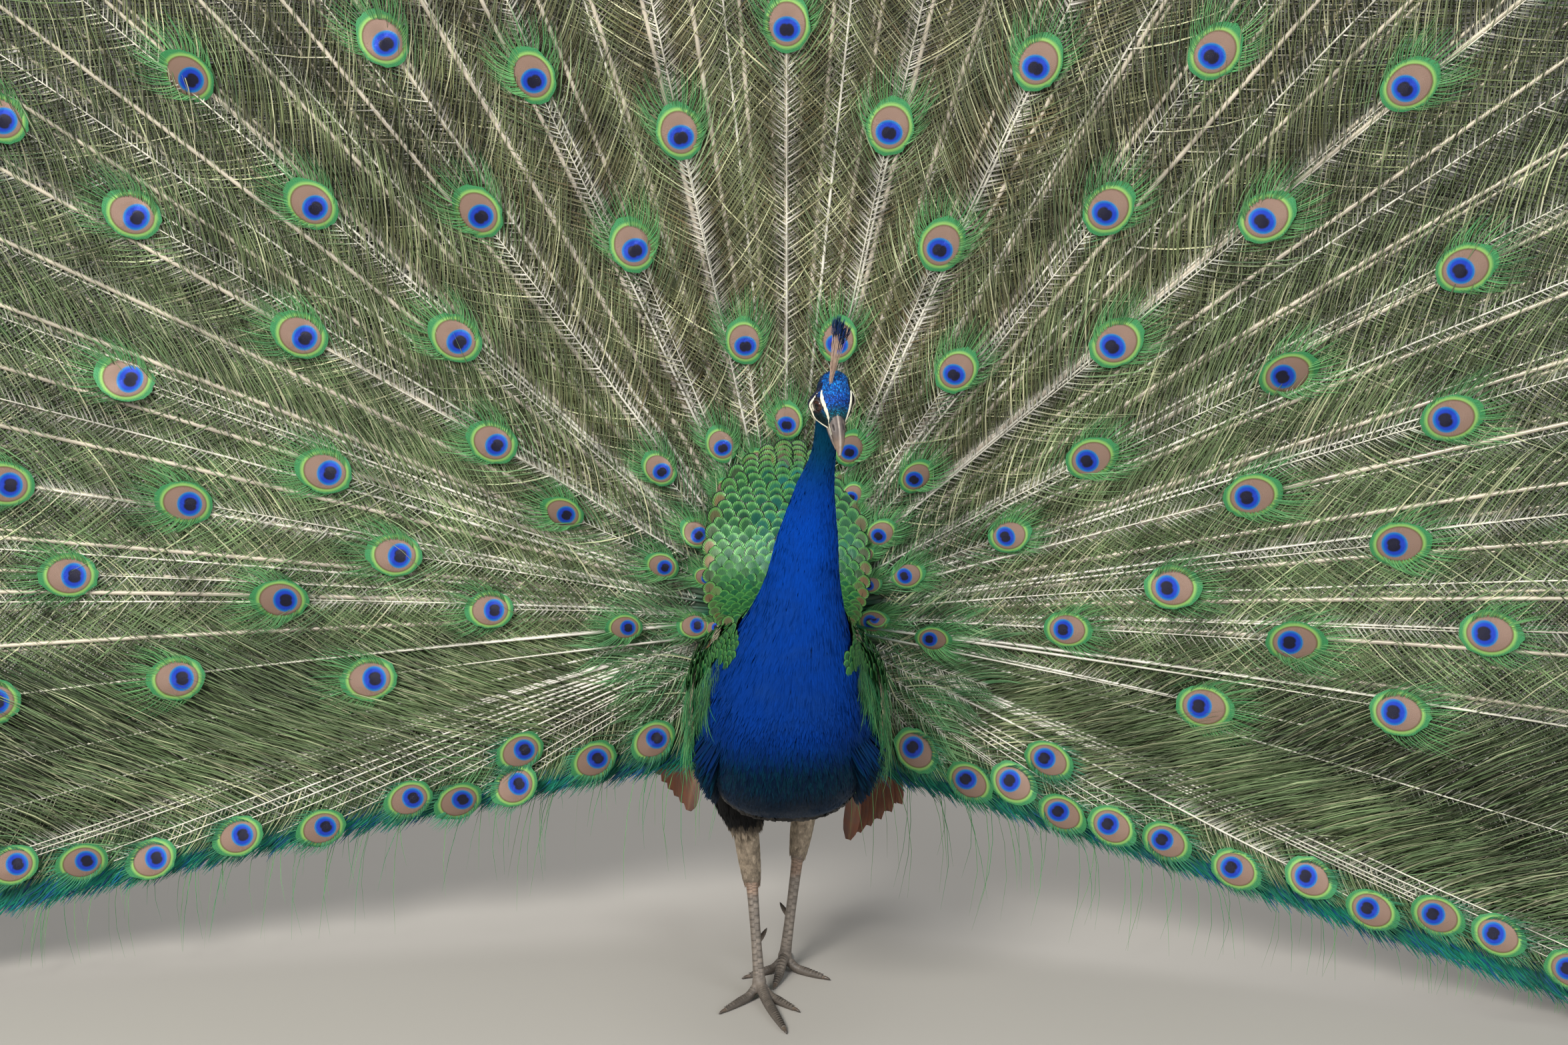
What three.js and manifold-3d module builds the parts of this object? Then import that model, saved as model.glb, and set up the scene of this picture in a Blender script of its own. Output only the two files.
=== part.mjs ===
// Male Indian peafowl (Pavo cristatus) in full display, standing, life size.
// Millimetres, +Z up. The bird faces -Y, so its own right side lies at -X and its left side at +X.
// Each named mesh is one closed body. Neighbours keep a gap of a few tenths of a millimetre.
import * as THREE from 'three';
import { mergeVertices } from 'three/addons/utils/BufferGeometryUtils.js';
import Module from 'manifold-3d';

const wasm = await Module();
wasm.setup();

const { clamp, degToRad, lerp, smoothstep } = THREE.MathUtils;
const GAP = 0.35;
const CUTTER_GROWTH = 1;

// Driving dimensions of the body: stations from the top of the neck to the undertail tuft.
// back and front are the [y, z] of the outline in side view, half the half width, middle the x.
const BODY = [
  { back: [-87, 723], front: [-112, 692], half: 13, middle: 46.5 },
  { back: [-73, 655], front: [-108, 643], half: 13.5, middle: 42 },
  { back: [-66, 612], front: [-108, 600], half: 22, middle: 32.5 },
  { back: [-56, 560], front: [-115, 546], half: 34, middle: 25 },
  { back: [-46, 512], front: [-131, 490], half: 43.5, middle: 19 },
  { back: [-30, 468], front: [-160, 430], half: 61, middle: 11 },
  { back: [-4, 436], front: [-186, 364], half: 82, middle: 3 },
  { back: [38, 420], front: [-168, 286], half: 98, middle: 3 },
  { back: [84, 413], front: [-98, 236], half: 93, middle: 3 },
  { back: [124, 414], front: [-6, 222], half: 87, middle: 3 },
  { back: [156, 424], front: [80, 232], half: 80, middle: 3 },
  { back: [186, 446], front: [150, 252], half: 69, middle: 3 },
  { back: [222, 430], front: [214, 246], half: 78, middle: 3 },
  { back: [262, 392], front: [274, 262], half: 70, middle: 3 },
  { back: [284, 350], front: [292, 304], half: 30, middle: 3 },
];
const BODY_SIDES = 18;
const BODY_CUT = 0.004;
const TRUNK_SQUARENESS = 0.7;
const BODY_NODES = [
  { name: 'neck_upper', from: 0, to: 2.6, rings: 7, colour: '#0b2f78' },
  { name: 'neck_lower', from: 2.6, to: 5.2, rings: 7, colour: '#0d3c9a' },
  { name: 'breast', from: 5.2, to: 7.5, rings: 7, colour: '#0c3a94' },
  { name: 'trunk', from: 7.5, to: 10.85, rings: 8, colour: '#16301f' },
  { name: 'undertail', from: 10.85, to: 14, rings: 8, colour: '#4a4238' },
];

// Driving dimensions of the head, along its own forward, up and left directions.
const HEAD_CENTRE = new THREE.Vector3(49, -115, 705);
const HEAD_PITCH = degToRad(52);
const HEAD_YAW = degToRad(17);
const HEAD_SIDES = 14;
const HEAD = [
  { along: -35, half: 4, top: 1, bottom: -7 },
  { along: -31, half: 11.5, top: 10, bottom: -14 },
  { along: -23, half: 17.5, top: 16, bottom: -18 },
  { along: -11, half: 21.5, top: 19, bottom: -19.5 },
  { along: 2, half: 22.5, top: 18.5, bottom: -18.5 },
  { along: 12, half: 18.5, top: 15.5, bottom: -16 },
  { along: 20, half: 13, top: 11.5, bottom: -13 },
  { along: 26, half: 8, top: 7, bottom: -8.5 },
];
const UPPER_BILL = [
  { along: 16, half: 9.6, top: 11.5, bottom: -3.6 },
  { along: 26, half: 8.9, top: 9.6, bottom: -4 },
  { along: 36, half: 7.8, top: 7.8, bottom: -4.4 },
  { along: 46, half: 6.2, top: 4.6, bottom: -5.2 },
  { along: 55, half: 4, top: -0.4, bottom: -7.4 },
  { along: 62, half: 1.3, top: -6.6, bottom: -11 },
];
const LOWER_BILL = [
  { along: 16, half: 9, top: -4.2, bottom: -10.6 },
  { along: 30, half: 7.8, top: -4.7, bottom: -10.4 },
  { along: 42, half: 6, top: -5.5, bottom: -9.8 },
  { along: 53, half: 3, top: -7.7, bottom: -9.6 },
];
const BILL_SIDES = 12;
const EYE_RADIUS = 8;
const EYE_SEAT = { along: 3, up: 3.5, out: 16 };

// The crest is a narrow fan of bare shafts with small webbed tips, in the head's middle plane.
const CREST = { along: -15, up: 15.5, out: -1.5, rake: degToRad(50), tilt: 0.13, spread: degToRad(17), shafts: 7 };
const CREST_LENGTH = 72;
const CREST_SHAFT_RADIUS = 0.7;
const CREST_TIP = { length: 15, half: 3.6, thick: 1.6 };

// Driving dimensions of the fan. r runs out along a feather, from the hub over the rump.
const HUB = new THREE.Vector3(3, 185, 385);
const FAN_UPPER_SHARE = 0.85;
const FAN_UPPER_ANGLE = degToRad(95);
const FAN_LEFT_DROOP = degToRad(3);
const FAN_EDGE_ANGLE = { right: degToRad(98.5), left: degToRad(102.5) };
const FAN_EDGE_BASE = { out: 10, drop: 138 };
const FAN_START = { top: 74, side: 98 };
const FAN_REACH = { top: 1285, side: 1230, edge: 1060 };
const FAN_LEAN = { top: 0.06, side: 0.05, edge: 0.08 };
const FAN_BOW = 0.00009;
const FAN_SWING = 0.07;
const FAN_THICK = 0.9;
const FAN_PLEAT = 4;
const FAN_SECTORS = 9;
const FEATHERS_PER_SECTOR = 3;
const COLUMNS_PER_FEATHER = 4;
const FAN_ROWS = 4;
const TIP_NOTCH = 62;

// The stiff tail feathers stand close behind the fan and carry it.
const TAIL = { behind: 22, start: 84, reach: 430, angle: degToRad(84), feathers: 10, notch: 26, thick: 1.4 };

// The scaled saddle: its middle line in [y, z] with the half width there, and its side wrap.
const SADDLE = [
  { y: 22, z: 428, half: 70 },
  { y: 62, z: 431, half: 82 },
  { y: 100, z: 447, half: 90 },
  { y: 126, z: 482, half: 91 },
  { y: 140, z: 524, half: 80 },
  { y: 147, z: 560, half: 56 },
  { y: 150, z: 588, half: 16 },
];
const SADDLE_WRAP = { back: 20, down: 12 };
const SADDLE_THICK = 6;

// Wings lie on the flanks between two stations; angles run from the back down to the belly.
const WING = { from: 6.8, to: 10.55, thick: 9, edge: 1.4, clear: 2.4 };
const WING_FRONT = [degToRad(70), degToRad(98)];
const WING_MIDDLE = [degToRad(50), degToRad(120)];
const WING_REAR = [degToRad(60), degToRad(112)];
const PRIMARY_TIPS = {
  right: { upper: [142, 230, 186], lower: [104, 206, 136] },
  left: { upper: [126, 232, 150], lower: [62, 200, 104] },
};
const PRIMARY = { feathers: 5, notch: 0.16, thick: 1.6, bow: 10 };

// Legs, by the bird's own side. Points are [x, y, z] of the joints and of the toes' tips.
const LEGS = {
  right: {
    knee: [-52, -16, 262],
    shankTop: [-45, -10, 208],
    hock: [-37, 2, 129],
    ankle: [-28, -38, 17],
    toes: {
      outer: [-66, -80],
      middle: [0, -127],
      inner: [11, -76],
      hind: [-34, -6],
    },
    bend: 0,
  },
  left: {
    knee: [40, 52, 262],
    shankTop: [26, 54, 208],
    hock: [17, 60, 139],
    ankle: [1, 31, 17],
    toes: {
      outer: [45, 6],
      middle: [-10, -15],
      inner: [-40, 9],
      hind: [7, 66],
    },
    bend: 9,
  },
};
const THIGH_RADIUS = { top: 40, bottom: 19 };
const SHANK_RADIUS = { top: 17, middle: 16.5, bottom: 9 };
const TARSUS_RADIUS = { hock: 8.6, middle: 6.2, ankle: 8 };
const TOE_RADIUS = { outer: 5, middle: 5.8, inner: 5, hind: 4 };
const TOE_TIP_SHARE = 0.62;
const TOE_SINK = 1.2;
const CLAW_LENGTH = 10;
const SPUR = { share: 0.62, length: 24, rise: 8, radius: 4 };
const LIMB_SIDES = 7;

const COLOURS = {
  head: '#1450b4',
  horn: '#8d8078',
  eye: '#2a1710',
  crest: '#12408c',
  saddle: '#4f9a55',
  wing: '#a89878',
  primary: '#a5582c',
  train: '#6d7440',
  edge: '#1f8a6c',
  tail: '#6b5f4e',
  thigh: '#15171a',
  shank: '#cdbfae',
  leg: '#a59c92',
  claw: '#4d453f',
};

const AXIS_X = new THREE.Vector3(1, 0, 0);
const AXIS_Y = new THREE.Vector3(0, 1, 0);

// ---- Closed bodies -------------------------------------------------------------------------

function signedVolume(geometry) {
  const place = geometry.getAttribute('position');
  const [a, b, c] = [0, 1, 2].map(() => new THREE.Vector3());
  let volume = 0;
  for (let i = 0; i < geometry.index.count; i += 3) {
    a.fromBufferAttribute(place, geometry.index.getX(i));
    b.fromBufferAttribute(place, geometry.index.getX(i + 1));
    c.fromBufferAttribute(place, geometry.index.getX(i + 2));
    volume += a.dot(b.cross(c)) / 6;
  }
  return volume;
}

// Points and triangles become a geometry whose faces point out.
function closedBody(points, triangles) {
  const geometry = new THREE.BufferGeometry().setFromPoints(points);
  geometry.setIndex(triangles.flat());
  if (signedVolume(geometry) < 0) {
    geometry.setIndex(triangles.map(([a, b, c]) => [a, c, b]).flat());
  }
  return geometry;
}

// A body through rings of equally many points, closed by a fan of triangles at each end.
function bodyThroughRings(rings) {
  const sides = rings[0].length;
  const points = rings.flat();
  const triangles = [];
  for (let row = 0; row + 1 < rings.length; row += 1) {
    for (let side = 0; side < sides; side += 1) {
      const a = row * sides + side;
      const b = row * sides + ((side + 1) % sides);
      triangles.push([a, b, b + sides], [a, b + sides, a + sides]);
    }
  }
  for (const row of [0, rings.length - 1]) {
    const middle = rings[row].reduce((sum, point) => sum.add(point), new THREE.Vector3());
    points.push(middle.divideScalar(sides));
    for (let side = 0; side < sides; side += 1) {
      const a = row * sides + side;
      const b = row * sides + ((side + 1) % sides);
      triangles.push(row === 0 ? [a, points.length - 1, b] : [a, b, points.length - 1]);
    }
  }
  return closedBody(points, triangles);
}

// A thin plate between two faces, each a function of u and v from 0 to 1.
function plate(columns, rows, front, rear) {
  const points = [];
  for (const face of [front, rear]) {
    for (let row = 0; row <= rows; row += 1) {
      for (let column = 0; column <= columns; column += 1) {
        points.push(face(column / columns, row / rows));
      }
    }
  }
  const far = (columns + 1) * (rows + 1);
  const at = (column, row) => row * (columns + 1) + column;
  const triangles = [];
  for (let row = 0; row < rows; row += 1) {
    for (let column = 0; column < columns; column += 1) {
      const [a, b] = [at(column, row), at(column + 1, row)];
      const [c, d] = [at(column + 1, row + 1), at(column, row + 1)];
      triangles.push([a, b, c], [a, c, d], [far + a, far + c, far + b], [far + a, far + d, far + c]);
    }
  }
  const rim = [];
  for (let column = 0; column < columns; column += 1) {
    rim.push([at(column, 0), at(column + 1, 0)], [at(column + 1, rows), at(column, rows)]);
  }
  for (let row = 0; row < rows; row += 1) {
    rim.push([at(0, row + 1), at(0, row)], [at(columns, row), at(columns, row + 1)]);
  }
  for (const [a, b] of rim) {
    triangles.push([a, far + a, far + b], [a, far + b, b]);
  }
  return closedBody(points, triangles);
}

// A round limb along points, with a radius at each. Grown, it is the same limb swollen all over.
function limb({ points, radii, sides = LIMB_SIDES }, grow = 0) {
  const rings = points.map((point, i) => {
    const before = points[Math.max(i - 1, 0)];
    const after = points[Math.min(i + 1, points.length - 1)];
    const along = after.clone().sub(before).normalize();
    const across = along.clone().cross(Math.abs(along.x) < 0.9 ? AXIS_X : AXIS_Y).normalize();
    const other = along.clone().cross(across);
    const end = i === 0 ? -grow : i === points.length - 1 ? grow : 0;
    return Array.from({ length: sides }, (_, side) => {
      const turn = (2 * Math.PI * (side + 0.5)) / sides;
      return point
        .clone()
        .addScaledVector(along, end)
        .addScaledVector(across, (radii[i] + grow) * Math.cos(turn))
        .addScaledVector(other, (radii[i] + grow) * Math.sin(turn));
    });
  });
  return bodyThroughRings(rings);
}

function asSolid(geometry) {
  const bare = new THREE.BufferGeometry();
  bare.setAttribute('position', geometry.getAttribute('position'));
  bare.setIndex(geometry.index);
  const merged = mergeVertices(bare, 1e-4);
  return new wasm.Manifold(
    new wasm.Mesh({
      numProp: 3,
      vertProperties: new Float32Array(merged.getAttribute('position').array),
      triVerts: new Uint32Array(merged.index.array),
    }),
  );
}

function asGeometry(solid) {
  const mesh = solid.getMesh();
  const geometry = new THREE.BufferGeometry();
  geometry.setAttribute('position', new THREE.BufferAttribute(mesh.vertProperties, 3));
  geometry.setIndex(new THREE.BufferAttribute(mesh.triVerts, 1));
  return geometry;
}

function joined(geometries) {
  return asGeometry(geometries.map(asSolid).reduce((whole, next) => whole.add(next)));
}

function cutBy(geometry, cutters) {
  const left = cutters.reduce((rest, cutter) => rest.subtract(asSolid(cutter)), asSolid(geometry));
  const pieces = left.decompose().sort((a, b) => b.volume() - a.volume());
  return asGeometry(pieces[0]);
}

function namedMesh(name, geometry, colour, roughness = 0.6, metalness = 0) {
  geometry.computeVertexNormals();
  const material = new THREE.MeshStandardMaterial({ color: colour, roughness, metalness });
  const mesh = new THREE.Mesh(geometry, material);
  mesh.name = name;
  return mesh;
}

// ---- Neck and body -------------------------------------------------------------------------

function smoothLine(points) {
  return new THREE.CatmullRomCurve3(points, false, 'centripetal');
}

// Curves through the stations that all share one running number, the station's own.
const BODY_BACK = BODY.map(({ back }) => new THREE.Vector3(0, ...back));
const BODY_FRONT = BODY.map(({ front }) => new THREE.Vector3(0, ...front));
const BODY_WIDTH = BODY.map(({ half, middle }) => new THREE.Vector3(half, middle, 0));
const bodyBack = new THREE.CatmullRomCurve3(BODY_BACK, false, 'catmullrom', 0.5);
const bodyFront = new THREE.CatmullRomCurve3(BODY_FRONT, false, 'catmullrom', 0.5);
const bodyWidth = new THREE.CatmullRomCurve3(BODY_WIDTH, false, 'catmullrom', 0.5);

// A point of the body's surface: station, turn from the back round the left side, and swelling.
function bodyPoint(station, turn, grow = 0) {
  const share = clamp(station / (BODY.length - 1), 0, 1);
  const [back, front, width] = [bodyBack, bodyFront, bodyWidth].map((line) => line.getPoint(share));
  const rise = back.clone().sub(front).multiplyScalar(0.5);
  const squareness = 2 + TRUNK_SQUARENESS * smoothstep(width.x, 40, 85);
  const rounded = (value) => Math.sign(value) * Math.abs(value) ** (2 / squareness);
  const upward = rounded(Math.cos(turn)) * (1 + grow / rise.length());
  const point = back.clone().add(front).multiplyScalar(0.5).addScaledVector(rise, upward);
  point.x = width.y + (width.x + grow) * rounded(Math.sin(turn));
  return point;
}

function bodyLength(from, to, rings, grow = 0) {
  const loops = Array.from({ length: rings }, (_, row) => {
    const station = lerp(from + BODY_CUT, to - BODY_CUT, row / (rings - 1));
    return Array.from({ length: BODY_SIDES }, (__, side) =>
      bodyPoint(station, (2 * Math.PI * side) / BODY_SIDES, grow),
    );
  });
  return bodyThroughRings(loops);
}

const bodyCutter = bodyLength(4, 13, 28, CUTTER_GROWTH);

// ---- Head ----------------------------------------------------------------------------------

const FORWARD = new THREE.Vector3(
  Math.cos(HEAD_PITCH) * Math.sin(HEAD_YAW),
  -Math.cos(HEAD_PITCH) * Math.cos(HEAD_YAW),
  -Math.sin(HEAD_PITCH),
);
const OUT_LEFT = new THREE.Vector3(Math.cos(HEAD_YAW), Math.sin(HEAD_YAW), 0);
const UPWARD = OUT_LEFT.clone().cross(FORWARD).negate();

function headPoint(along, up, out) {
  return HEAD_CENTRE.clone()
    .addScaledVector(FORWARD, along)
    .addScaledVector(UPWARD, up)
    .addScaledVector(OUT_LEFT, out);
}

function headForm(stations, sides, grow = 0) {
  const rings = stations.map(({ along, half, top, bottom }) =>
    Array.from({ length: sides }, (_, side) => {
      const turn = (2 * Math.PI * side) / sides;
      const up = (top + bottom) / 2 + ((top - bottom) / 2 + grow) * Math.cos(turn);
      return headPoint(along + grow * Math.sign(along), up, (half + grow) * Math.sin(turn));
    }),
  );
  return bodyThroughRings(rings);
}

function eyeBall(side, radius) {
  const ball = mergeVertices(bare(new THREE.SphereGeometry(radius, 12, 7)), 1e-4);
  const centre = headPoint(EYE_SEAT.along, EYE_SEAT.up, side * EYE_SEAT.out);
  return withoutSlivers(ball.translate(centre.x, centre.y, centre.z));
}

function bare(geometry) {
  geometry.deleteAttribute('normal');
  geometry.deleteAttribute('uv');
  return geometry;
}

// Drops the triangles that have collapsed where a sphere's rows meet at its poles.
function withoutSlivers(geometry) {
  const corners = Array.from(geometry.index.array);
  const kept = [];
  for (let i = 0; i < corners.length; i += 3) {
    const [a, b, c] = corners.slice(i, i + 3);
    if (a !== b && b !== c && c !== a) kept.push(a, b, c);
  }
  geometry.setIndex(kept);
  return geometry;
}

function crest() {
  const plane = (angle, tilt) =>
    UPWARD.clone()
      .multiplyScalar(Math.cos(angle))
      .addScaledVector(FORWARD, -Math.sin(angle))
      .addScaledVector(OUT_LEFT, tilt)
      .normalize();
  const root = headPoint(CREST.along, CREST.up, CREST.out);
  const pieces = [];
  for (let i = 0; i < CREST.shafts; i += 1) {
    const lean = lerp(-1, 1, i / (CREST.shafts - 1));
    const along = plane(CREST.rake + lean * CREST.spread, CREST.tilt);
    const across = plane(CREST.rake + lean * CREST.spread + Math.PI / 2, 0);
    const length = CREST_LENGTH * (1 - 0.1 * lean * lean);
    const foot = root.clone().addScaledVector(across, lean * 2.4);
    const top = foot.clone().addScaledVector(along, length - CREST_TIP.length);
    const thin = CREST_SHAFT_RADIUS;
    const shaft = [foot, top.clone().addScaledVector(along, 3)];
    pieces.push(limb({ points: shaft, radii: [thin * 1.2, thin], sides: 4 }));
    pieces.push(crestTip(top, along, across));
  }
  return joined(pieces);
}

function crestTip(root, along, across) {
  const { length, half, thick } = CREST_TIP;
  const outline = new THREE.Shape();
  outline.moveTo(-0.8, 0);
  outline.quadraticCurveTo(-half, length * 0.55, -half * 0.9, length * 0.8);
  outline.quadraticCurveTo(0, length * 1.15, half * 0.9, length * 0.8);
  outline.quadraticCurveTo(half, length * 0.55, 0.8, 0);
  const options = { depth: thick, bevelEnabled: false, curveSegments: 2 };
  const blade = new THREE.ExtrudeGeometry(outline, options);
  blade.translate(0, 0, -thick / 2);
  const out = across.clone().cross(along);
  blade.applyMatrix4(new THREE.Matrix4().makeBasis(across, along, out));
  blade.translate(root.x, root.y, root.z);
  return withoutSlivers(mergeVertices(bare(blade), 1e-4));
}

function headMeshes() {
  const skull = headForm(HEAD, HEAD_SIDES);
  const skullCutter = headForm(HEAD, HEAD_SIDES, GAP);
  const sockets = [-1, 1].map((side) => eyeBall(side, EYE_RADIUS + GAP));
  return [
    namedMesh('head', cutBy(skull, sockets), COLOURS.head, 0.45, 0.3),
    namedMesh('bill_upper', cutBy(headForm(UPPER_BILL, BILL_SIDES), [skullCutter]), COLOURS.horn, 0.4),
    namedMesh('bill_lower', cutBy(headForm(LOWER_BILL, BILL_SIDES), [skullCutter]), COLOURS.horn, 0.4),
    namedMesh('eye_right', eyeBall(-1, EYE_RADIUS), COLOURS.eye, 0.1),
    namedMesh('eye_left', eyeBall(1, EYE_RADIUS), COLOURS.eye, 0.1),
    namedMesh('crest', cutBy(crest(), [skullCutter]), COLOURS.crest, 0.5, 0.2),
  ];
}

function bodyMeshes() {
  return BODY_NODES.map(({ name, from, to, rings, colour }) => {
    let form = bodyLength(from, to, rings);
    if (from === 0) form = cutBy(form, [headForm(HEAD, HEAD_SIDES, GAP)]);
    return namedMesh(name, form, colour, 0.5, 0.25);
  });
}

// ---- Fan -----------------------------------------------------------------------------------

// The line of the feather at q, from -1 on the bird's right to 1 on its left.
function fanLine(q) {
  const side = q < 0 ? 'right' : 'left';
  const sign = q < 0 ? -1 : 1;
  const upper = Math.min(Math.abs(q) / FAN_UPPER_SHARE, 1);
  const edge = Math.max((Math.abs(q) - FAN_UPPER_SHARE) / (1 - FAN_UPPER_SHARE), 0);
  const droop = side === 'left' ? FAN_LEFT_DROOP * upper * upper : 0;
  const angle = lerp(FAN_UPPER_ANGLE * upper + droop, FAN_EDGE_ANGLE[side], edge);
  const reach = lerp(lerp(FAN_REACH.top, FAN_REACH.side, upper), FAN_REACH.edge, edge);
  const lean = FAN_LEAN.top + FAN_LEAN.side * Math.sin(angle) ** 2 + FAN_LEAN.edge * edge;
  const start = lerp(FAN_START.top, FAN_START.side, smoothstep(angle, 0.5, 1.4));
  const baseX = HUB.x + sign * FAN_EDGE_BASE.out * edge;
  const baseZ = HUB.z - FAN_EDGE_BASE.drop * edge;
  return { sign, angle, reach, lean, start, baseX, baseZ };
}

// A point of the fan, with its own distance in front of the middle sheet.
function fanPoint(line, r, front = 0) {
  const x = line.baseX + line.sign * r * Math.sin(line.angle);
  const z = line.baseZ + r * Math.cos(line.angle);
  const y = HUB.y - line.lean * r - FAN_BOW * r * r - FAN_SWING * (x - HUB.x) - front;
  return new THREE.Vector3(x, y, z);
}

// Folds and tips repeat with each feather: phase 0 and 1 lie between two feathers, 0.5 on a shaft.
function pleat(phase) {
  return 1 - 4 * Math.abs(phase - 0.5);
}

function tipDrop(phase, notch) {
  return notch * (2 * Math.abs(phase - 0.5)) ** 1.6;
}

function featheredPlate({ from, to, feathers, columns, rows, front, thick, notch, fold, startAt, endAt }) {
  const face = (depth) => (u, v) => {
    const phase = (u * feathers) % 1;
    const line = fanLine(lerp(from, to, u));
    const end = endAt(line) - tipDrop(phase, notch);
    const r = lerp(startAt(line), end, v);
    return fanPoint(line, r, front + depth + fold * pleat(phase) * v);
  };
  return plate(columns, rows, face(thick / 2), face(-thick / 2));
}

function trainSector(from, to, feathers) {
  return featheredPlate({
    from,
    to,
    feathers,
    columns: feathers * COLUMNS_PER_FEATHER,
    rows: FAN_ROWS,
    front: 0,
    thick: FAN_THICK,
    notch: TIP_NOTCH,
    fold: FAN_PLEAT,
    startAt: (line) => line.start,
    endAt: (line) => line.reach,
  });
}

function trainMeshes() {
  const slit = 0.0012;
  const sides = ['right', 'left'];
  const inFront = sides.flatMap((side) => [wing(side, GAP), primaries(side, CUTTER_GROWTH)]);
  const meshes = [];
  for (let i = 0; i < FAN_SECTORS; i += 1) {
    const from = lerp(-FAN_UPPER_SHARE, FAN_UPPER_SHARE, i / FAN_SECTORS) + slit;
    const to = lerp(-FAN_UPPER_SHARE, FAN_UPPER_SHARE, (i + 1) / FAN_SECTORS) - slit;
    const sector = trainSector(from, to, FEATHERS_PER_SECTOR);
    meshes.push(namedMesh(`train_${i + 1}`, sector, COLOURS.train, 0.5, 0.2));
  }
  for (const [side, sign] of [['right', -1], ['left', 1]]) {
    const edge = trainSector(sign * (FAN_UPPER_SHARE + slit), sign, FEATHERS_PER_SECTOR);
    const clear = cutBy(edge, [bodyCutter, ...inFront]);
    meshes.push(namedMesh(`train_edge_${side}`, clear, COLOURS.edge, 0.5, 0.2));
  }
  return meshes;
}

function tailMeshes() {
  const share = (TAIL.angle / FAN_UPPER_ANGLE) * FAN_UPPER_SHARE;
  return [['right', -1], ['left', 1]].map(([side, sign]) => {
    const half = featheredPlate({
      from: sign * 0.002,
      to: sign * share,
      feathers: TAIL.feathers,
      columns: TAIL.feathers * 2,
      rows: 2,
      front: -TAIL.behind,
      thick: TAIL.thick,
      notch: TAIL.notch,
      fold: 2,
      startAt: () => TAIL.start,
      endAt: () => TAIL.reach,
    });
    return namedMesh(`tail_${side}`, cutBy(half, [bodyCutter]), COLOURS.tail, 0.7);
  });
}

// ---- Saddle and wings ----------------------------------------------------------------------

function saddle() {
  const line = smoothLine(SADDLE.map(({ y, z }) => new THREE.Vector3(0, y, z)));
  const widths = smoothLine(SADDLE.map(({ half }, i) => new THREE.Vector3(half, i * 40, 0)));
  const face = (depth) => (u, v) => {
    const side = 2 * u - 1;
    const place = line.getPoint(v);
    const along = line.getTangent(v);
    const half = widths.getPoint(v).x;
    const lift = along.clone().cross(AXIS_X).multiplyScalar(depth);
    const wrap = side * side * (half / 90);
    const upright = along.z * along.z;
    return new THREE.Vector3(
      HUB.x + side * half,
      place.y + lift.y + wrap * SADDLE_WRAP.back * upright,
      place.z + lift.z - wrap * SADDLE_WRAP.down * (1 - upright),
    );
  };
  return plate(7, 8, face(SADDLE_THICK / 2), face(-SADDLE_THICK / 2));
}

function wingTurn(u, v) {
  const [low, high] = [0, 1].map((i) =>
    u < 0.3
      ? lerp(WING_FRONT[i], WING_MIDDLE[i], Math.sin((u / 0.3) * (Math.PI / 2)))
      : lerp(WING_MIDDLE[i], WING_REAR[i], (u - 0.3) / 0.7),
  );
  return lerp(low, high, v);
}

function wingPoint(side, u, v, out) {
  const sign = side === 'right' ? -1 : 1;
  return bodyPoint(lerp(WING.from, WING.to, u), sign * wingTurn(u, v), out);
}

function wing(side, grow = 0) {
  const swell = (u, v) => Math.sin(Math.PI * clamp(u, 0.04, 0.96)) ** 0.5 * Math.sin(Math.PI * v) ** 0.7;
  const outer = (u, v) => {
    const thick = WING.edge + (WING.thick - WING.edge) * swell(u, v);
    return wingPoint(side, u, v, WING.clear + thick + grow);
  };
  const inner = (u, v) => wingPoint(side, u, v, WING.clear - grow);
  return plate(8, 5, outer, inner);
}

// The long flight feathers hang from the wing's rear edge, down and back.
function primaries(side, grow = 0) {
  const sign = side === 'right' ? -1 : 1;
  const tip = (u) => {
    const { upper, lower } = PRIMARY_TIPS[side];
    const [x, y, z] = [0, 1, 2].map((i) => lerp(upper[i], lower[i], u));
    return new THREE.Vector3(HUB.x + sign * x, y, z);
  };
  const face = (depth) => (u, v) => {
    const edge = wingPoint(side, 1.004, u, WING.clear + WING.edge / 2);
    const phase = (u * PRIMARY.feathers) % 1;
    const share = v * (1 - tipDrop(phase, PRIMARY.notch));
    const point = edge.lerp(tip(u), share);
    point.x += sign * (depth + PRIMARY.bow * Math.sin(Math.PI * share));
    return point;
  };
  return plate(PRIMARY.feathers * 2, 4, face(PRIMARY.thick + grow), face(-grow));
}

function backMeshes() {
  const meshes = [namedMesh('saddle', cutBy(saddle(), [bodyCutter]), COLOURS.saddle, 0.4, 0.3)];
  for (const side of ['right', 'left']) {
    meshes.push(namedMesh(`wing_${side}`, wing(side), COLOURS.wing, 0.7));
    meshes.push(namedMesh(`primaries_${side}`, primaries(side), COLOURS.primary, 0.7));
  }
  return meshes;
}

// ---- Legs ----------------------------------------------------------------------------------

// One toe, from inside the ankle to the root of its claw.
function toe(ankle, tip, radius, bend) {
  const [x, y] = tip;
  const end = radius * TOE_TIP_SHARE - TOE_SINK;
  const at = (share, z) => new THREE.Vector3(lerp(ankle.x, x, share), lerp(ankle.y, y, share), z);
  return {
    points: [
      ankle.clone(),
      at(0.27, radius * 1.3 + bend),
      at(0.6, radius - TOE_SINK + bend * 0.3),
      at(1, end),
    ],
    radii: [1.15, 1.1, 1, TOE_TIP_SHARE].map((share) => radius * share),
  };
}

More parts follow.
